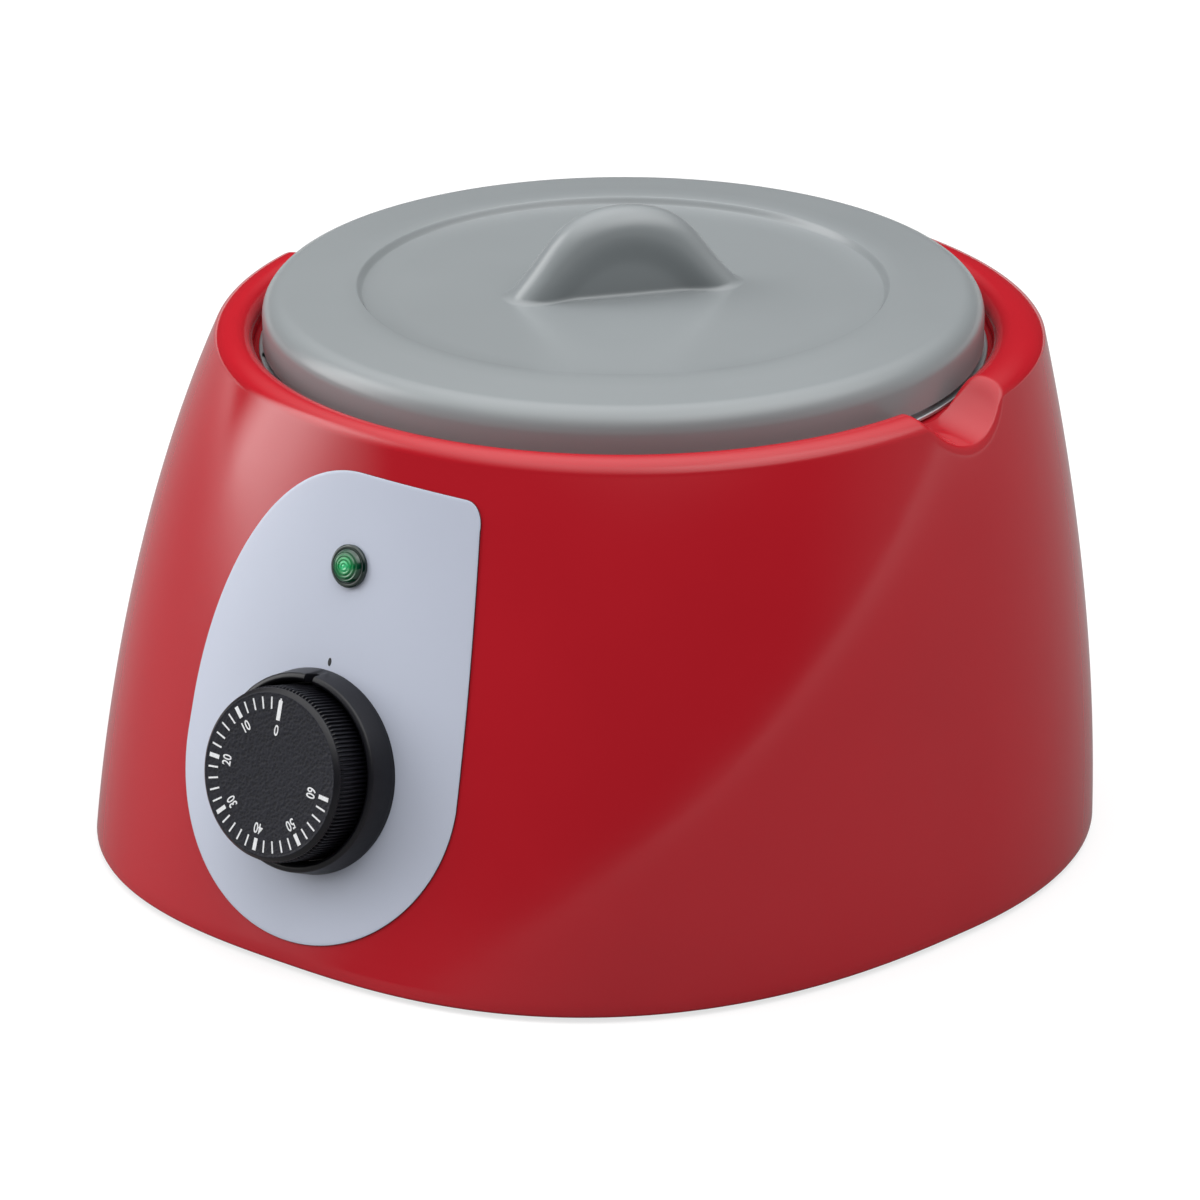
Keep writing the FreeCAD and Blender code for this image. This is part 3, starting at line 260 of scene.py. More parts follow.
whiteInk = inkFinish("whiteInk", tint(235, 236, 238))
blackInk = inkFinish("blackInk", tint(26, 26, 30))

cadFinishes = {
    zincSteel: "well_screws stud_nuts band_screw band_nut thermostat_shaft thermostat_screws knob_spring "
               "base_screws foot_screws foot_nuts terminal_fixings",
    bandSteel: "heater_band bulb_clip thermostat_plate",
    copper: "sensor_bulb capillary_tube",
    brass: "thermostat_terminals terminal_screws earth_stud earth_nuts",
    phenolicBlack: "thermostat_body pilot_lamp_body",
    phenolicBrown: "thermal_cutout",
    nylonBlack: "pilot_lamp_nut gland_nut",
    nylonWhite: "terminal_block",
    basePlating: "base_plate",
    wool: "insulation_wrap",
}
for finish, names in cadFinishes.items():
    for name in names.split():
        frame["nodes"][name].data.materials.clear()
        frame["nodes"][name].data.materials.append(finish.material)
print("finishes made:", len(bpy.data.materials))


# Meshes
def added(name, data):
    made = bpy.data.objects.new(name, data)
    bpy.context.scene.collection.objects.link(made)
    return made


def makePiece(name, points, faces, finishes, body, slot, replaced=(), zones=None, sharp=35, closed=True):
    mesh = bpy.data.meshes.new(name)
    spots = np.asarray(points, float) * mm + np.array(axisPlace)
    mesh.from_pydata(spots.tolist(), [], faces)
    if closed:
        work = bmesh.new()
        work.from_mesh(mesh)
        bmesh.ops.recalc_face_normals(work, faces=work.faces)
        work.to_mesh(mesh)
        work.free()
    for finish in finishes:
        mesh.materials.append(finish.material)
    if zones:
        mesh.polygons.foreach_set("material_index", zones)
    mesh.shade_smooth()
    mesh.set_sharp_from_angle(angle=math.radians(sharp))
    piece = added(name, mesh)
    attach(piece, body)
    if replaced:
        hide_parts(*replaced)


def gridFaces(rows, columns, loop=False):
    # faces between rings of points, each ring closed
    faces = []
    for i in range(rows if loop else rows - 1):
        a, b = i * columns, (i + 1) % rows * columns
        for j in range(columns):
            k = (j + 1) % columns
            faces.append((a + j, a + k, b + k, b + j))
    return faces


def rounded(corners, closed=False, bow=6):
    # profile points with an arc of the given radius in place of each corner: (r, z, radius)
    points = []
    count = len(corners)
    for i, (r, z, radius) in enumerate(corners):
        here = np.array((r, z), float)
        if radius <= 0 or (not closed and i in (0, count - 1)):
            points.append(here)
            continue
        before = np.array(corners[i - 1][:2], float) - here
        after = np.array(corners[(i + 1) % count][:2], float) - here
        toBefore, toAfter = before / np.linalg.norm(before), after / np.linalg.norm(after)
        half = math.acos(max(-1.0, min(1.0, float(toBefore @ toAfter)))) / 2
        back = min(radius / math.tan(half), 0.49 * np.linalg.norm(before), 0.49 * np.linalg.norm(after))
        size = back * math.tan(half)
        middle = here + (toBefore + toAfter) / np.linalg.norm(toBefore + toAfter) * size / math.sin(half)
        first, last = here + toBefore * back - middle, here + toAfter * back - middle
        turn = math.atan2(first[0] * last[1] - first[1] * last[0], float(first @ last))
        steps = max(2, int(bow * abs(turn) / (math.pi / 2)))
        for k in range(steps + 1):
            a = turn * k / steps
            points.append(middle + np.array((first[0] * math.cos(a) - first[1] * math.sin(a),
                                             first[0] * math.sin(a) + first[1] * math.cos(a))))
    return points


def turnedMesh(profile, segments, loop=False):
    # points and faces of a profile turned about Z; an end on the axis closes to a pole
    points, faces, starts = [], [], []
    angles = [2 * math.pi * k / segments for k in range(segments)]
    for r, z in profile:
        starts.append((len(points), r < 1e-6))
        if r < 1e-6:
            points.append((0, 0, z))
        else:
            points += [(r * math.cos(a), r * math.sin(a), z) for a in angles]
    count = len(profile)
    for i in range(count if loop else count - 1):
        (a, poleA), (b, poleB) = starts[i], starts[(i + 1) % count]
        for j in range(segments):
            k = (j + 1) % segments
            if poleA:
                faces.append((a, b + k, b + j))
            elif poleB:
                faces.append((a + j, a + k, b))
            else:
                faces.append((a + j, a + k, b + k, b + j))
    return points, faces


def moved(points, matrix):
    spots = np.asarray(points, float)
    turn = np.array(matrix.to_3x3())
    return spots @ turn.T + np.array(matrix.translation)


def edgeNormals(ring):
    # unit normals to the right of a closed line's run
    run = np.roll(ring, -1, 0) - np.roll(ring, 1, 0)
    normal = np.stack((run[:, 1], -run[:, 0]), 1)
    return normal / np.maximum(np.linalg.norm(normal, axis=1), 1e-9)[:, None]


def ridge(rows):
    # a small ridge along Z from rows of (level, foot, crest), each of these its x and half its width
    points = []
    for level, (footX, footY), (crestX, crestY) in rows:
        points += [(footX, -footY, level), (crestX, -crestY, level),
                   (crestX, crestY, level), (footX, footY, level)]
    return points, gridFaces(len(rows), 4) + [(3, 2, 1, 0), (12, 13, 14, 15)]


def joined(parts):
    points, faces = [], []
    for spots, polygons in parts:
        start = len(points)
        points += [tuple(spot) for spot in spots]
        faces += [tuple(start + corner for corner in polygon) for polygon in polygons]
    return points, faces


# Repeats, made with Geometry Nodes
def startTree(name, inputs):
    # a tree with named inputs, and what comes in by them
    tree = bpy.data.node_groups.new(name, "GeometryNodeTree")
    tree.interface.new_socket("Geometry", in_out="OUTPUT", socket_type="NodeSocketGeometry")
    for label, kind in {**inputs, "Shape": "Object", "Finish": "Material"}.items():
        tree.interface.new_socket(label, in_out="INPUT", socket_type="NodeSocket" + kind)
    kit = Nodes(tree)
    return kit, {socket.name: Wire(kit, socket) for socket in tree.nodes.new("NodeGroupInput").outputs}


def endTree(kit, given, points, angle):
    # copies of Shape at the points, turned about Z by the angle, realised and given the finish
    shape = kit.add("GeometryNodeObjectInfo", values={"Object": given["Shape"]}, output="Geometry")
    euler = kit.add("ShaderNodeCombineXYZ", values={"Z": angle})
    turn = kit.add("FunctionNodeEulerToRotation", values=[euler])
    spread = kit.add("GeometryNodeInstanceOnPoints",
                     values={"Points": points, "Instance": shape, "Rotation": turn})
    real = kit.add("GeometryNodeRealizeInstances", values=[spread])
    coat = kit.add("GeometryNodeSetMaterial", values={"Geometry": real, "Material": given["Finish"]})
    kit.tree.links.new(coat.socket, kit.tree.nodes.new("NodeGroupOutput").inputs[0])
    return kit.tree


# Count copies about Z, the first at the angle Start and each Step further
kit, given = startTree("copiesAroundAxis", {"Count": "Int", "Start": "Float", "Step": "Float"})
line = kit.add("GeometryNodeMeshLine", values={"Count": given["Count"], "Offset": (0, 0, 0)})
aroundTree = endTree(kit, given, line, kit.add("GeometryNodeInputIndex") * given["Step"] + given["Start"])

# a copy at each point of Places, turned about Z at random from the seed
kit, given = startTree("copiesAtPlaces", {"Places": "Geometry", "Seed": "Int"})
spin = kit.add("FunctionNodeRandomValue", {"data_type": "FLOAT"}, {"Seed": given["Seed"]}).socket.node
most = next(socket for socket in spin.inputs if socket.name == "Max" and socket.type == "VALUE")
most.default_value = 2 * math.pi
drawn = next(socket for socket in spin.outputs if socket.type == "VALUE")
scatterTree = endTree(kit, given, given["Places"], Wire(kit, drawn))


def evaluated(holder):
    # points and faces of what an object comes to, and the object is removed
    bpy.context.view_layer.update()
    mesh = bpy.data.meshes.new_from_object(holder.evaluated_get(bpy.context.evaluated_depsgraph_get()))
    points = [tuple(vertex.co) for vertex in mesh.vertices]
    faces = [tuple(polygon.vertices) for polygon in mesh.polygons]
    bpy.data.objects.remove(holder)
    bpy.data.meshes.remove(mesh)
    return points, faces


def copies(tree, shape, finish, places=(), **values):
    # points and faces of the copies that a tree makes of a shape, given as its own; all in millimetres
    pattern, base = bpy.data.meshes.new("pattern"), bpy.data.meshes.new("places")
    pattern.from_pydata([tuple(point) for point in shape[0]], [], shape[1])
    base.from_pydata(places, [], [])
    copied, carrier = added("pattern", pattern), added("carrier", base)
    modifier = carrier.modifiers.new("repeat", "NODES")
    modifier.node_group = tree
    values.update(Shape=copied, Finish=finish.material)
    for item in tree.interface.items_tree:
        if item.name in values:
            modifier[item.identifier] = values[item.name]
    made = evaluated(carrier)
    bpy.data.objects.remove(copied)
    return made


def around(shape, count, start, step, finish):
    return copies(aroundTree, shape, finish, Count=count, Start=start, Step=step)


# Casing
casing = {
    "halfWidth": (139.7, 134.5), "front": (156.2, 137.3), "back": (127.5, 125.0), "centre": (19.9, 8.9),
    "rimWidth": 119.7, "rimBack": 119.8, "rimCentre": 0.12, "squareness": (2.64, 2.70, 2.07),
    "backSquareness": 2.05, "taper": (0.11, 0.09, 0.0335), "middleLevel": 68.0, "lean": math.radians(15.5),
    "beadRadius": 5.25, "beadCentre": 112.4, "beadLevel": 143.4, "wall": 3.0, "shelf": 140.5,
    "shelfThickness": 3.0, "shelfHole": 98.0, "edgeRound": 1.0, "scoopPlace": 4.5, "scoopRadius": 21.5,
    "scoopSlope": math.radians(14.0), "scoopDepth": 11.6, "scoopReach": 1.5, "scoopRound": 3.2,
    "rowStep": 4.0, "fineFrom": 128.0, "fineStep": 0.55, "scoopSpan": (-14.0, 18.0), "columnStep": 0.36,
}
rimLevel = casing["beadLevel"] + casing["beadRadius"] * math.sin(casing["lean"])
rimRadius = casing["beadCentre"] + casing["beadRadius"] * math.cos(casing["lean"])


def along(pair, top, level):
    # on the parabola through the values at the lower edge, mid height and the rim
    one, two = casing["middleLevel"], rimLevel
    return (pair[0] * (level - one) * (level - two) / (one * two)
            + pair[1] * level * (level - two) / (one * (one - two))
            + top * level * (level - one) / (two * (two - one)))


def outline(angle, level, inset):
    # the casing's outline: a superellipse with a squarer front half that narrows forward
    cosine, sine = np.cos(angle), np.sin(angle)
    centre = -along(casing["centre"], casing["rimCentre"], level)
    squareness = np.where(sine < 0, along(casing["squareness"][:2], casing["squareness"][2], level),
                          casing["backSquareness"])
    reach = (np.abs(cosine) ** squareness + np.abs(sine) ** squareness) ** (-1 / squareness)
    forward = centre + along(casing["front"], rimRadius, level) - inset
    backward = along(casing["back"], casing["rimBack"], level) - centre - inset
    length = np.where(sine < 0, forward, backward) * reach * sine
    taper = 1 + along(casing["taper"][:2], casing["taper"][2], level) * length / casing["back"][0]
    across = (along(casing["halfWidth"], casing["rimWidth"], level) - inset) * reach * cosine * taper
    return across, centre + length


def beadOutline(angles, radius, turn):
    # the outer half of the bead runs from its crown circle out to the wall's outline
    if turn >= math.pi / 2:
        return radius * np.cos(angles), radius * np.sin(angles)
    wallX, wallY = outline(angles, rimLevel, 0.0)
    share = math.cos(turn) / math.cos(casing["lean"])
    crown = casing["beadCentre"]
    return (crown * np.cos(angles) * (1 - share) + wallX * share,
            crown * np.sin(angles) * (1 - share) + wallY * share)


def scoopFloor(x, y):
    # height of the finger scoops' floor: round across, and far above the casing away from them
    slope, radius = casing["scoopSlope"], casing["scoopRadius"]
    bottom = casing["beadLevel"] + casing["beadRadius"] - casing["scoopDepth"]
    apart, edge = np.abs(y - casing["scoopPlace"]), 0.96 * radius
    rise = (radius - np.sqrt(radius ** 2 - np.minimum(apart, edge) ** 2)) / math.cos(slope)
    outward = np.abs(x) - rimRadius - casing["scoopReach"]
    return bottom - math.tan(slope) * outward + rise + 3 * np.maximum(apart - edge, 0)


def softLower(first, second, width):
    # the lower of two heights, with the edge between them rounded over
    share = np.maximum(width - np.abs(first - second), 0) / width
    return np.minimum(first, second) - share ** 2 * width / 4


def casingRows():
    # (level, inset or radius, kind) from the lower edge, up the wall, over the bead and down inside
    edge, wall, shelf, hole = casing["edgeRound"], casing["wall"], casing["shelf"], casing["shelfHole"]
    bead, radius, step = casing["beadLevel"], casing["beadRadius"], casing["rowStep"]
    fine, inner = casing["fineFrom"], casing["beadCentre"] - radius
    rows = [(edge * (1 - math.cos(a)), edge * (1 - math.sin(a)), "outer")
            for a in np.linspace(0, math.pi / 2, 5)]
    rows += [(level, 0.0, "outer") for level in np.arange(step, fine, step)]
    rows += [(level, 0.0, "outer") for level in np.arange(fine, rimLevel - 0.2, casing["fineStep"])]
    rows += [(bead + radius * math.sin(a), a, "bead") for a in np.linspace(casing["lean"], math.pi, 38)]
    rows += [(level, inner, "round") for level in np.linspace(bead - 0.4, shelf + 1.0, 5)]
    rows += [(shelf + 1 - math.sin(a), inner - 1 + math.cos(a), "round")
             for a in np.linspace(0.3, math.pi / 2, 5)]
    rows += [(shelf, size, "round") for size in np.linspace(inner - 2.0, hole + 0.5, 6)]
    rows += [(shelf - 0.15, hole + 0.15, "round"), (shelf - 0.5, hole, "round")]
    under = shelf - casing["shelfThickness"]
    rows += [(under + 0.5, hole, "round"), (under, hole + 0.5, "round")]
    rows += [(under, share, "under") for share in np.linspace(0.1, 0.95, 8)]
    rows += [(level, wall, "inner") for level in np.linspace(under - 0.4, 3.0, 26)]
    return rows + [(0.4, wall, "inner"), (0.0, wall - 0.4, "inner")]


def casingRing(angles, level, size, kind):
    if kind == "bead":
        return beadOutline(angles, casing["beadCentre"] + casing["beadRadius"] * math.cos(size), size)
    if kind == "round":
        return size * np.cos(angles), size * np.sin(angles)
    if kind == "under":
        wideX, wideY = outline(angles, level, casing["wall"])
        narrow = casing["shelfHole"] + 0.5
        return ((1 - size) * narrow * np.cos(angles) + size * wideX,
                (1 - size) * narrow * np.sin(angles) + size * wideY)
    return outline(angles, level, size)


def buildCasing():
    # the columns stand closer at the scoops
    start, end = casing["scoopSpan"]
    near = np.radians(np.arange(start, end + 0.01, casing["columnStep"]))
    behind = np.radians(np.linspace(end, 180 - end, 94))[1:-1]
    before = np.radians(np.linspace(180 - start, 360 + start, 98))[1:-1]
    angles = np.concatenate((near, behind, math.pi - near[::-1], before))
    rings, zones = [], []
    for level, size, kind in casingRows():
        x, y = casingRing(angles, level, size, kind)
        hidden = kind in ("under", "inner")
        floor = scoopFloor(x, y) - (casing["wall"] if hidden else 0)
        z = np.maximum(softLower(np.full_like(x, level), floor, casing["scoopRound"]), 0.0)
        rings.append(np.stack((x, y, z), 1))
        zones += [int(hidden)] * len(angles)
    makePiece("casingShell", np.concatenate(rings), gridFaces(len(rings), len(angles), loop=True),
              [redGloss, redInside], "base", "casing_red", ["casing"], zones, sharp=50)


buildCasing()
print("casing made")


# Panel frame: the middle of the knob on the sloping front, Z out of the wall and Y up it
knobLevel = 53.9
panel = (Matrix.Translation((0, -along(casing["front"], rimRadius, knobLevel), knobLevel))
         @ Matrix.Rotation(math.pi / 2 - casing["lean"], 4, "X"))


def wallHeight(x, y, offset):
    # how far the wall stands out of the panel plane at a point of it, each pass nearer than the last
    x, y = np.asarray(x, float), np.asarray(y, float)
    height = np.zeros_like(x)
    turn, base = np.array(panel.to_3x3()), np.array(panel.translation)
    for _ in range(7):
        spots = base + np.stack((x, y, height), -1) @ turn.T
        low, high = np.full_like(x, -math.pi / 2), np.zeros_like(x)
        for _ in range(34):
            middle = (low + high) / 2
            reach, front = outline(middle, spots[..., 2], -offset)
            wide = reach > np.abs(x)
            high, low = np.where(wide, middle, high), np.where(wide, low, middle)
        height = height + (spots[..., 1] - front) * math.cos(casing["lean"])
    return height


def wallAt(place, offset):
    return float(wallHeight(place[:1], place[1:], offset)[0])


label = {"radius": 49.0, "top": 85.9, "flatStart": 2.0, "flatEnd": 36.0, "rightTop": 41.4, "corner": 8.0,
         "thickness": 0.5, "glue": 0.05, "edgeRound": 0.18, "bulge": 0.9, "middle": (0.0, 16.0)}


def labelOutline():
    radius, top, corner, flat = label["radius"], label["top"], label["corner"], label["flatStart"]
    end, right = label["flatEnd"], label["rightTop"]
    points = [(flat - (radius + flat) * math.cos(a), (top - corner) * math.sin(a) + corner)
              for a in np.linspace(0, math.pi / 2, 60)[1:]]
    points += [(x, top) for x in np.linspace(flat, end, 16)[1:]]
    points += [(end + (right - end) * math.cos(a), top - corner + corner * math.sin(a))
               for a in np.linspace(math.pi / 2, 0, 12)[1:]]
    for share in np.linspace(0, 1, 30)[1:]:
        bulge = label["bulge"] * 4 * share * (1 - share)
        points.append((right + (radius - right) * share + bulge, (top - corner) * (1 - share)))
    points += [(radius * math.cos(a), radius * math.sin(a)) for a in np.linspace(0, -math.pi, 90)[1:]]
    return np.array(points + [(-radius, y) for y in np.linspace(0, corner, 5)[1:]])


def buildLabel():
    border, middle = labelOutline(), np.array(label["middle"])
    normal = -edgeNormals(border)
    thick, soft = label["thickness"], label["edgeRound"]
    rings = [(border, label["glue"]), (border, thick - soft),
             (border - normal * soft * 0.3, thick - soft * 0.3), (border - normal * soft, thick),
             (border - normal, thick)]
    rings += [(middle + (border - middle) * share, thick) for share in np.linspace(0.97, 0.04, 26)]
    points = [np.column_stack((ring, wallHeight(ring[:, 0], ring[:, 1], offset))) for ring, offset in rings]
    points += [[(*middle, wallAt(middle, offset))] for offset in (thick, label["glue"])]
    columns = len(border)
    last, pole = (len(rings) - 1) * columns, len(rings) * columns
    faces = gridFaces(len(rings), columns)
    faces += [(last + j, last + (j + 1) % columns, pole) for j in range(columns)]
    # the film's edges and underside take the painted shadow line, and the rest takes the film
    zones = [1] * (2 * columns) + [0] * (len(faces) - 2 * columns) + [1] * columns
    faces += [((j + 1) % columns, j, pole + 1) for j in range(columns)]
    makePiece("labelFilmPiece", moved(np.concatenate(points), panel), faces, [labelFilm, filmEdge], "base",
              "label_film", ["front_label"], zones, sharp=60)


buildLabel()


mark = {"place": (0.3, 31.5), "halfWidth": 0.6, "halfTall": 1.2, "thickness": 0.06, "sunk": 0.01}


def buildIndexMark():
    # the small oval that the dial's scale is read against, laid on the label
    points, faces = turnedMesh([(0, 0), (1, 0), (1, 0.8), (0.9, 1), (0, 1)], 32)
    spots = np.array(points) * (mark["halfWidth"], mark["halfTall"], mark["thickness"])
    spots[:, :2] += mark["place"]
    spots[:, 2] = wallHeight(spots[:, 0], spots[:, 1], label["thickness"]) + spots[:, 2] - mark["sunk"]
    makePiece("indexMark", moved(spots, panel), faces, [blackInk], "base", "label_film")


buildIndexMark()
print("label made")

# Pan, well and lid
panTop = 142.7
pan = {"flange": 102.8, "mouth": 91.0, "floor": 86.0, "depth": 75.0, "sheet": 1.0, "corner": 12.0}
floorLevel, sheet = panTop - pan["depth"], pan["sheet"]
panProfile = rounded([
    (0, floorLevel, 0), (pan["floor"], floorLevel, pan["corner"] + sheet),
    (pan["mouth"], panTop - sheet, 2.0), (pan["flange"], panTop - sheet, 0.35), (pan["flange"], panTop, 0.35),
    (pan["mouth"] - sheet, panTop, 3.0), (pan["floor"] - sheet, floorLevel + sheet, pan["corner"]),
    (0, floorLevel + sheet, 0)], bow=10)
makePiece("meltingPan", *turnedMesh(panProfile, 180), [panSteel], "pan", "pan_steel", ["melting_pan"])

lid = {"radius": 104.4, "height": 16.7, "edgeRound": 12.0, "edgeDrop": 1.5, "wall": 2.5, "disc": 76.2,
       "drop": 2.1, "discRings": (0, 20, 40, 55, 66), "crown": ((81.0, 0.0), (86.0, 0.3), (91.0, 0.8)),
       "spigot": 88.5, "spigotDepth": 5.0, "spigotWall": 2.0}
lidTop = panTop + lid["height"]


def lidProfile():
    # disc, smooth step up, crown, edge, then the underside with the spigot
    radius, wall, disc, drop, edge = lid["radius"], lid["wall"], lid["disc"], lid["drop"], lid["edgeRound"]
    corners = [(r, lidTop - drop, 0) for r in lid["discRings"]]
    for t in np.linspace(-1, 1, 15):
        share = 0.5 + 0.75 * t - 0.25 * t ** 3
        corners.append((disc + t, lidTop - drop * (1 - share), 0))
    corners += [(r, lidTop - fall, 0) for r, fall in lid["crown"]]
    spigot, bore, tip = lid["spigot"], lid["spigot"] - lid["spigotWall"], panTop - lid["spigotDepth"]
    under = lidTop - drop - wall
    return rounded(corners + [
        (radius, lidTop - lid["edgeDrop"], edge), (radius, panTop, 0.5), (radius - wall, panTop, 0.5),
        (radius - wall, lidTop - wall - lid["edgeDrop"], edge - wall),
        (spigot, lidTop - wall, 0.8), (spigot, tip, 0.8), (bore, tip, 0.8), (bore, under, 0.8),
        (disc - 6, under, 0), (0, under, 0)], bow=16)


handle = {"waist": 0.12, "length": 68.8, "height": 25.5, "thickness": 15.0, "crest": 7.5, "dish": 1.6,
          "dishRun": 9.0, "baseRound": 1.6, "sunk": 0.6, "turn": math.radians(52.6)}


def handleMesh():
    # half-moon fin in level slices: rounded crest, dished sides and a small fillet all round its foot
    tall, crest, foot = handle["height"], handle["crest"], handle["baseRound"]
    radius = (handle["length"] ** 2 / 4 + tall ** 2) / (2 * tall)
    centre = tall - radius
    levels = [tall - crest * (1 - math.cos(b)) for b in np.linspace(0.06, math.pi / 2, 22)]
    levels += list(np.linspace(levels[-1], foot, 16))[1:]
    levels += [foot * (1 - math.sin(b)) for b in np.linspace(0.12, math.pi / 2, 9)]
    columns = 120
    share = np.cos(2 * math.pi * np.arange(columns) / columns)
    side = np.where(np.arange(columns) < columns / 2, 1.0, -1.0)
    rings = []
    for level in levels:
        a = math.sqrt(max(radius ** 2 - (level - centre) ** 2, 1e-6)) * share
        inset = np.clip(radius - np.sqrt(a ** 2 + (level - centre) ** 2), 0, None)
        edge = np.clip(inset / crest, 0, 1)
        wide = handle["thickness"] / 2 * np.sqrt(np.clip(1 - (1 - edge) ** 2, 0, 1))
        run = np.clip((inset - crest) / handle["dishRun"], 0, 1)
        wide = wide - handle["dish"] * run ** 2 * (3 - 2 * run)
        narrow = 1 - handle["waist"] * math.sin(math.pi * min(max(level / tall, 0), 1))
        ring = np.stack((a * narrow, side * wide), 1)
        flare = foot - math.sqrt(max(foot ** 2 - max(foot - level, 0) ** 2, 0))
        rings.append(np.column_stack((ring + edgeNormals(ring) * flare, np.full(columns, level))))
    rings.append(rings[-1] * (1, 1, 0) - (0, 0, handle["sunk"]))
    faces = gridFaces(len(rings), columns)
    last, top = (len(rings) - 1) * columns, len(rings) * columns
    for j in range(columns):
        k = (j + 1) % columns
        faces += [(top, k, j), (last + j, last + k, top + 1)]
    points = np.concatenate(rings + [[(0, 0, tall), (0, 0, -handle["sunk"])]])
    turn = Matrix.Translation((0, 0, lidTop - lid["drop"])) @ Matrix.Rotation(handle["turn"], 4, "Z")
    return moved(points, turn), faces


makePiece("lidShell", *joined([turnedMesh(lidProfile(), 240), handleMesh()]), [greySatin], "lid", "lid_grey",
          ["lid"], sharp=60)
print("pan and lid made")

well = {"gap": 1.0, "sheet": 1.2, "flange": 105.5, "shelf": 140.5, "stud": 1.5, "studLength": 7.0,
        "studs": ((-14.0, -29.0), (-14.0, -11.0), (-12.0, 34.0), (12.0, 34.0))}


def buildWell():
    gauge, gap, shelf, flange = well["sheet"], well["gap"], well["shelf"], well["flange"]
    low = floorLevel - gap - gauge
    heel, mouth = pan["floor"] + gap + gauge, pan["mouth"] + gap + gauge
    profile = rounded([
        (0, low, 0), (heel, low, pan["corner"] + gap + gauge), (mouth, shelf, 2.4), (flange, shelf, 0.4),
        (flange, shelf + gauge, 0.4), (mouth - gauge, shelf + gauge, 3.6),
        (heel - gauge, low + gauge, pan["corner"] + gap), (0, low + gauge, 0)], bow=10)
    stud, tip = well["stud"], low - well["studLength"]
    points, faces = turnedMesh([(0, tip), (stud - 0.3, tip), (stud, tip + 0.3), (stud, low + 0.2),
                                (0, low + 0.2)], 20)
    parts = [turnedMesh(profile, 180)]
    parts += [(moved(points, Matrix.Translation((x, y, 0))), faces) for x, y in well["studs"]]
    makePiece("heatingWell", *joined(parts), [wellAluminium], "base", "well_aluminium", ["heating_well"])


buildWell()

# Knob, its fixed ring and the dial
bezel = {"radius": 29.05, "topRadius": 28.0, "height": 8.8, "floor": 2.0, "gap": 0.8, "bore": 7.5,
         "pointer": 2.2, "pointerDepth": 4.3}
knob = {"radius": 24.7, "face": 19.4, "wall": 2.2, "bevel": 1.5, "lift": 0.8, "hub": 6.0, "bore": 3.0,
        "dish": 0.12, "ribs": 122, "ribDepth": 0.8, "ribLow": 3.6, "ribShare": 0.38}


def buildBezel():
    inner, bore, floor, height = knob["radius"] + bezel["gap"], bezel["bore"], bezel["floor"], bezel["height"]
    points, faces = turnedMesh(rounded([
        (bore, -1.0, 0), (bezel["radius"], -1.0, 0), (bezel["radius"], 1.1, 0.5),
        (bezel["topRadius"], height - 0.4, 0.9), (bezel["topRadius"] - 1.4, height, 0.6),
        (inner + 0.2, height - 0.9, 0.5), (inner, floor, 0.6), (bore, floor, 0)]), 216, loop=True)
    x, y, z = np.array(points).T
    z = np.where(z < -0.5, wallHeight(x, y, label["thickness"]), z)
    # the pointer's slot at the top of the ring
    share = 1 / (1 + np.exp(np.clip((np.abs(x) - bezel["pointer"] / 2) * 14, -30, 30)))
    onRing = (y > 0) & (np.hypot(x, y) > inner - 0.5) & (z > floor + 0.5)
    lowered = np.minimum(z, height - bezel["pointerDepth"])
    z = np.where(onRing, z * (1 - share) + lowered * share, z)
    makePiece("knobRing", moved(np.stack((x, y, z), 1), panel), faces, [blackSmooth], "base", "knob_black",
              ["knob_bezel"], sharp=40)


def buildKnob():
    # a hollow shell with a grained face, and ribs set into its side
    bottom, top, hub, low = bezel["floor"] + knob["lift"], knob["face"], knob["hub"], knob["ribLow"]
    radius, bevel, side = knob["radius"], knob["bevel"], knob["radius"] - knob["ribDepth"]
    inner, ceiling, dish = radius - knob["wall"] - 0.3, top - knob["wall"], top - knob["dish"]
    shell, shellFaces = turnedMesh(rounded([
        (0, dish, 0), (radius - bevel - 0.8, dish, 0.3), (radius - bevel - 0.2, top, 0.3),
        (radius - 0.25, top - bevel + 0.1, 0.5),
        (side, top - bevel - 0.5, 0.3), (side, low + 0.4, 0.3), (radius, low, 0.2), (radius, bottom, 0.3),
        (inner, bottom, 0.3), (inner, ceiling, 1.0), (hub, ceiling, 0.8), (hub, bottom + 1.0, 0.4),
        (knob["bore"], bottom + 1.0, 0), (0, bottom + 1.0, 0)], bow=5), 192)
    pitch = 2 * math.pi / knob["ribs"]
    half, foot, high, low = pitch * knob["ribShare"], side - 0.15, top - bevel - 0.35, low - 0.1
    rows = []
    for level, share in ((low, 0.55), (low + 0.5, 1.0), (high - 0.7, 1.0), (high, 0.35)):
        crest = foot + (radius - foot) * share
        rows.append((level, (foot * math.cos(half), foot * math.sin(half)),
                     (crest * math.cos(half * 0.35), crest * math.sin(half * 0.35))))
    ribs, ribFaces = around(ridge(rows), knob["ribs"], 0.0, pitch, blackSmooth)
    zones = []
    for face in shellFaces:
        corners = [shell[corner] for corner in face]
        grained = (min(z for x, y, z in corners) > top - 0.2
                   and max(math.hypot(x, y) for x, y, z in corners) < radius - bevel)
        zones.append(0 if grained else 1)
    points, faces = joined([(shell, shellFaces), (ribs, ribFaces)])
    makePiece("dialKnob", moved(points, panel), faces, [blackGrain, blackSmooth], "dial", "knob_black",
              ["knob"], zones + [1] * len(ribFaces), sharp=38)


dial = {"perTen": math.radians(44.25), "majors": 7, "outer": 21.9, "inner": 18.4, "zeroInner": 15.6,
        "majorWidth": 1.2, "minorWidth": 0.5, "numberRadius": 15.4, "zeroRadius": 12.6, "fontSize": 4.26,
        "bold": 0.055, "narrow": 0.74, "thickness": 0.07, "sunk": 0.13, "numberSunk": 0.1}


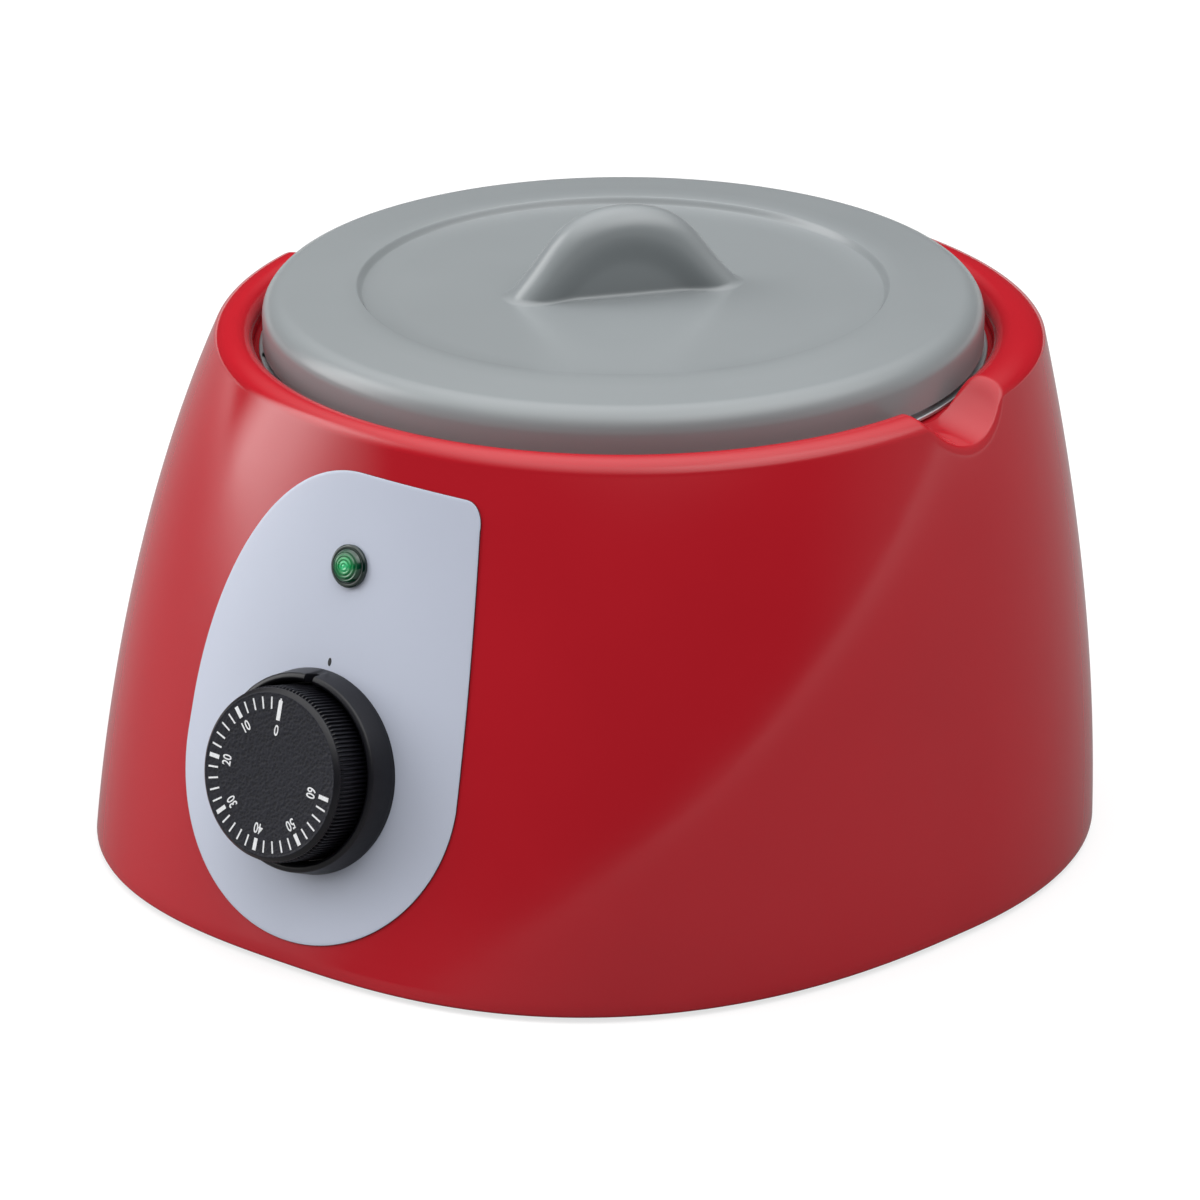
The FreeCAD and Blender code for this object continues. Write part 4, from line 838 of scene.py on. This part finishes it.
def bar(width, inner, outer, thickness):
    # a radial stroke along local Y
    half, base = width / 2, knob["face"] - dial["sunk"]
    points = [(x, y, z) for z in (base, base + thickness) for x, y in
              ((-half, inner), (half, inner), (half, outer), (-half, outer))]
    faces = [(3, 2, 1, 0), (4, 5, 6, 7), (0, 1, 5, 4), (1, 2, 6, 5), (2, 3, 7, 6), (3, 0, 4, 7)]
    return points, faces


def numberMesh(text, angle, radius):
    curve = bpy.data.curves.new("number", "FONT")
    curve.body, curve.align_x, curve.align_y, curve.resolution_u = text, "CENTER", "CENTER", 6
    curve.size, curve.extrude, curve.offset = dial["fontSize"], dial["thickness"] / 2, dial["bold"]
    points, faces = evaluated(added("number", curve))
    place = (Matrix.Rotation(angle, 4, "Z")
             @ Matrix.Translation((0, radius, knob["face"] - dial["numberSunk"]))
             @ Matrix.Diagonal((dial["narrow"], 1.0, 1.0, 1.0)))
    return [tuple(place @ Vector(point)) for point in points], faces


def buildDial():
    step, inner, outer, thickness = dial["perTen"], dial["inner"], dial["outer"], dial["thickness"]
    tens = dial["majors"] - 1
    minors = around(bar(dial["minorWidth"], inner + 0.05, outer - 0.05, thickness - 0.02),
                    5 * tens + 1, 0.0, step / 5, whiteInk)
    majors = around(bar(dial["majorWidth"], inner, outer, thickness), tens, step, step, whiteInk)
    zero = bar(dial["majorWidth"] + 0.1, dial["zeroInner"], outer - 0.6, thickness)
    points, faces = joined([minors, majors, zero])
    makePiece("dialScale", moved(points, panel), faces, [whiteInk], "dial", "knob_black")
    numbers = [numberMesh("0", 0.0, dial["zeroRadius"])]
    numbers += [numberMesh(str(10 * k), k * step, dial["numberRadius"]) for k in range(1, tens + 1)]
    points, faces = joined(numbers)
    makePiece("dialNumbers", moved(points, panel), faces, [whiteInk], "dial", "knob_black", closed=False)


buildBezel()
buildKnob()
buildDial()
print("knob and dial made")


def lampFinish(centre):
    # clear green lens with moulded circles: a painted bright glow in the middle that fades to darker green,
    # painted shade, towards the edge; the flange's dark green is its own colour
    finish = Finish("greenLamp", IOR=1.49, Coat_Weight=0.5, Coat_Roughness=0.03)
    reach = finish.vector("DISTANCE", finish.place(), centre, output="Value") * 1000
    circles = finish.math("SINE", reach * 7.4) * finish.step(reach, 3.2, 3.6, 0.07, 0.0)
    # from bright in the middle to dark at the rim: painted glow and shade over the lens's own green
    shades = ((0.1, (58, 196, 128)), (0.3, (14, 142, 76)), (0.52, (2, 92, 50)),
              (0.68, (0, 58, 36)), (0.8, (0, 30, 22)))
    factor = reach * 0.15 + circles + finish.noise(500.0) * 0.06 - 0.03
    return finish.dress(finish.ramp(factor, shades), (finish.noise(300.0), 0.3, 0.7, 0.07, 0.12), circles,
                        0.0002)


lamp = {"place": (2.4, 59.5), "seatGap": 0.1, "flange": 6.1, "lens": 4.9, "dome": 3.4, "rings": 4,
        "ripple": 0.13}


def buildLamp():
    level = wallAt(lamp["place"], label["thickness"] + lamp["seatGap"])
    flange, lens, dome = lamp["flange"], lamp["lens"], lamp["dome"]
    profile = rounded([(0, level, 0), (flange, level, 0), (flange, level + 0.9, 0.35),
                       (flange - 0.5, level + 1.25, 0.3), (lens + 0.1, level + 1.25, 0.2),
                       (lens, level + 1.0, 0.2), (lens - 0.5, level + dome - 1.1, 0.5)], bow=5)[:-1]
    for t in np.linspace(1.0, 0.0, 60):
        ripple = lamp["ripple"] * math.cos(2 * math.pi * lamp["rings"] * t) * (0.15 + 0.85 * min(1, t * 3))
        profile.append(((lens - 0.7) * t, level + dome - 0.25 - 0.9 * t ** 2.4 + ripple - lamp["ripple"]))
    points, faces = turnedMesh(profile, 96)
    place = panel @ Matrix.Translation((*lamp["place"], 0))
    greenLamp = lampFinish(tuple(axisPlace + place @ Vector((0, 0, level + dome - 1)) * mm))
    makePiece("pilotLens", moved(points, place), faces, [greenLamp], "base", "lamp_green",
              ["pilot_lamp_lens"], sharp=60)


buildLamp()

# Feet and cord entry
feet = {"circle": 102.0, "angles": (40, 140, 230, 310), "radius": 10.0, "tall": 4.5, "bore": 4.0, "land": 2.6,
        "hole": 1.6}


def buildFeet():
    foot = turnedMesh(rounded([
        (feet["bore"], 0, 0.3), (feet["radius"] - 1.5, 0, 0.6), (feet["radius"], feet["tall"], 0.4),
        (feet["hole"], feet["tall"], 0), (feet["hole"], feet["land"], 0), (feet["bore"], feet["land"], 0)],
        closed=True), 64, loop=True)
    places = [(feet["circle"] * math.cos(math.radians(a)), feet["circle"] * math.sin(math.radians(a)),
               -axisPlace.z / mm) for a in feet["angles"]]
    points, faces = copies(scatterTree, foot, footRubber, places, Seed=3)
    makePiece("rubberFeet", points, faces, [footRubber], "base", "foot_rubber", ["rubber_feet"])


buildFeet()

gland = {"level": 24.0, "thread": 8.0, "bore": 5.0, "mouth": 4.0, "across": 12.5, "flange": 5.0, "sunk": 0.8,
         "cap": 11.4, "grip": 11.0, "collar": 12.0, "shoulder": 15.0, "end": 17.0, "ribs": 24, "inside": 12.0}


def buildGland():
    seat = float(along(casing["back"], rimRadius, gland["level"])) - gland["sunk"]
    place = Matrix.Translation((0, seat, gland["level"])) @ Matrix.Rotation(-math.pi / 2, 4, "X")
    across, thick, bore, thread = gland["across"], gland["flange"], gland["bore"], gland["thread"]
    corners = [across * np.array((math.cos(math.pi / 3 * k), math.sin(math.pi / 3 * k))) for k in range(6)]
    border = np.array([corners[k] + (corners[(k + 1) % 6] - corners[k]) * t
                       for k in range(6) for t in np.linspace(0, 1, 9)[:-1]])
    reach = np.linalg.norm(border, axis=1)[:, None]
    limit = across * 0.955 + 0.6
    rings = [(border * np.minimum(1.0, (limit - trim) / reach), level) for level, trim in
             ((0.0, 0.0), (thick - 1.6, 0.0), (thick - 0.8, 0.25), (thick, 0.9))]
    rings += [(border / reach * radius, level) for radius, level in
              ((bore, thick), (bore, -gland["inside"]), (thread, -gland["inside"]), (thread, 0.0))]
    points = np.concatenate([np.column_stack((ring, np.full(len(ring), level))) for ring, level in rings])
    faces = gridFaces(len(rings), len(border), loop=True)
    makePiece("glandBody", moved(points, place), faces, [nylonBlack], "base", "nylon_black", ["cable_gland"])
    grip, mouth, end, outer = gland["cap"] - 0.3, gland["mouth"], gland["end"], gland["cap"] - 0.05
    high = gland["grip"]
    cap = turnedMesh(rounded([
        (thread, thick, 0), (grip, thick, 0.3), (grip, high, 1.0),
        (thread + 0.6, gland["shoulder"], 1.2), (mouth + 1.2, end, 0.5), (mouth, end, 0.3),
        (mouth, gland["collar"], 0.2), (thread, gland["collar"], 0)], closed=True), 96, loop=True)
    rows = [(level, (outer - 0.5, 0.7), (outer + lift, 0.35)) for level, lift in
            ((thick + 0.6, -0.5), (thick + 1.2, 0.0), (high - 1.2, 0.0), (high - 0.4, -0.5))]
    ribs = around(ridge(rows), gland["ribs"], 0.0, 2 * math.pi / gland["ribs"], nylonBlack)
    points, faces = joined([cap, ribs])
    makePiece("glandCap", moved(points, place), faces, [nylonBlack], "base", "nylon_black", ["gland_cap"])


buildGland()
print("feet and cord entry made")

# Floor, light and camera
studio = {"floorSize": 40.0, "floorAlbedo": 0.25, "floorGlow": 0.72, "glowFrom": (1.0, 6.0)}


def floorFinish():
    # pale floor: lit like a grey one, but shown white, and in reflections white only away from the object
    finish = Finish("paleFloor", Roughness=0.7)
    grey = studio["floorAlbedo"]
    finish.feed("Base Color", finish.blend(finish.noise(2.0), (grey,) * 3 + (1,), (grey + 0.01,) * 3 + (1,)))
    camera, glossy, through = (finish.add("ShaderNodeLightPath", output=output)
                               for output in ("Is Camera Ray", "Is Glossy Ray", "Is Transmission Ray"))
    away = finish.step(finish.radius(), *studio["glowFrom"])
    shown = finish.math("MAXIMUM", camera, (glossy + through) * away)
    glow = finish.add("ShaderNodeEmission", values={"Strength": shown * studio["floorGlow"]})
    both = finish.add("ShaderNodeAddShader", values=[Wire(finish, finish.shader.outputs[0]), glow])
    finish.tree.links.new(both.socket, finish.tree.nodes["Material Output"].inputs["Surface"])
    return finish


half = studio["floorSize"] / 2
floorMesh = bpy.data.meshes.new("floor")
floorMesh.from_pydata([(-half, -half, 0), (half, -half, 0), (half, half, 0), (-half, half, 0)], [],
                      [(0, 1, 2, 3)])
floorMesh.materials.append(floorFinish().material)
floor = added("floor", floorMesh)

# The studio's softboxes, in the world: where each fades in and out, in degrees from the front towards +X and
# above the horizon, and its level
softboxes = (
    ((-86, -70), (-60, -28), (-5, 1), (34, 54), 4.6),
    ((84, 128), (140, 175), (-6, 2), (30, 60), 0.4),
    ((30, 70), (130, 165), (30, 42), (66, 80), 1.15),
)
ceiling = {"rise": (20, 74), "level": (0.03, 2.5)}


def buildWorld():
    world = bpy.data.worlds.new("studio")
    bpy.context.scene.world = world
    world.use_nodes = True
    sky = Nodes(world.node_tree)
    way = sky.add("ShaderNodeTexCoord", output="Generated")
    rightward, backward, up = (sky.add("ShaderNodeSeparateXYZ", values=[way], output=k) for k in range(3))
    turn = sky.math("ARCTAN2", rightward, backward * -1.0) * math.degrees(1)
    rise = sky.math("ARCSINE", up) * math.degrees(1)
    light = sky.step(rise, *ceiling["rise"], *ceiling["level"])
    for start, end, low, high, level in softboxes:
        shape = (sky.step(turn, *start) * sky.step(turn, *end, 1.0, 0.0)
                 * sky.step(rise, *low) * sky.step(rise, *high, 1.0, 0.0))
        light = light + shape * level
    background = world.node_tree.nodes["Background"]
    sky.tree.links.new(light.socket, background.inputs["Strength"])
    background.inputs["Color"].default_value = (1, 1, 1, 1)


buildWorld()

# The photograph's camera looks at a target, and its axis meets the picture off the middle
view = {"azimuth": math.radians(37.963), "elevation": math.radians(21.479), "distance": 2.0173,
        "target": (0.0, 0.0, 0.084), "focal": 6886.0, "frame": 1200.0, "axisX": 623.23, "axisY": 525.05,
        "sensor": 36.0}
azimuth, elevation, flat = view["azimuth"], view["elevation"], math.cos(view["elevation"])
back = Vector((math.sin(azimuth) * flat, -math.cos(azimuth) * flat, math.sin(elevation)))
right = Vector((math.cos(azimuth), math.sin(azimuth), 0))
aim = (-back + right * (view["frame"] / 2 - view["axisX"]) / view["focal"]
       - back.cross(right) * (view["frame"] / 2 - view["axisY"]) / view["focal"]).normalized()
cameraData = bpy.data.cameras.new("camera")
cameraData.sensor_width = view["sensor"]
cameraData.lens = view["focal"] / view["frame"] * view["sensor"]
camera = added("camera", cameraData)
camera.rotation_mode = "QUATERNION"
camera.location = axisPlace + Vector(view["target"]) + back * view["distance"]
camera.rotation_quaternion = (-back).rotation_difference(aim) @ (-back).to_track_quat("-Z", "Y")
bpy.context.scene.camera = camera
bpy.context.scene.view_settings.view_transform = "Standard"
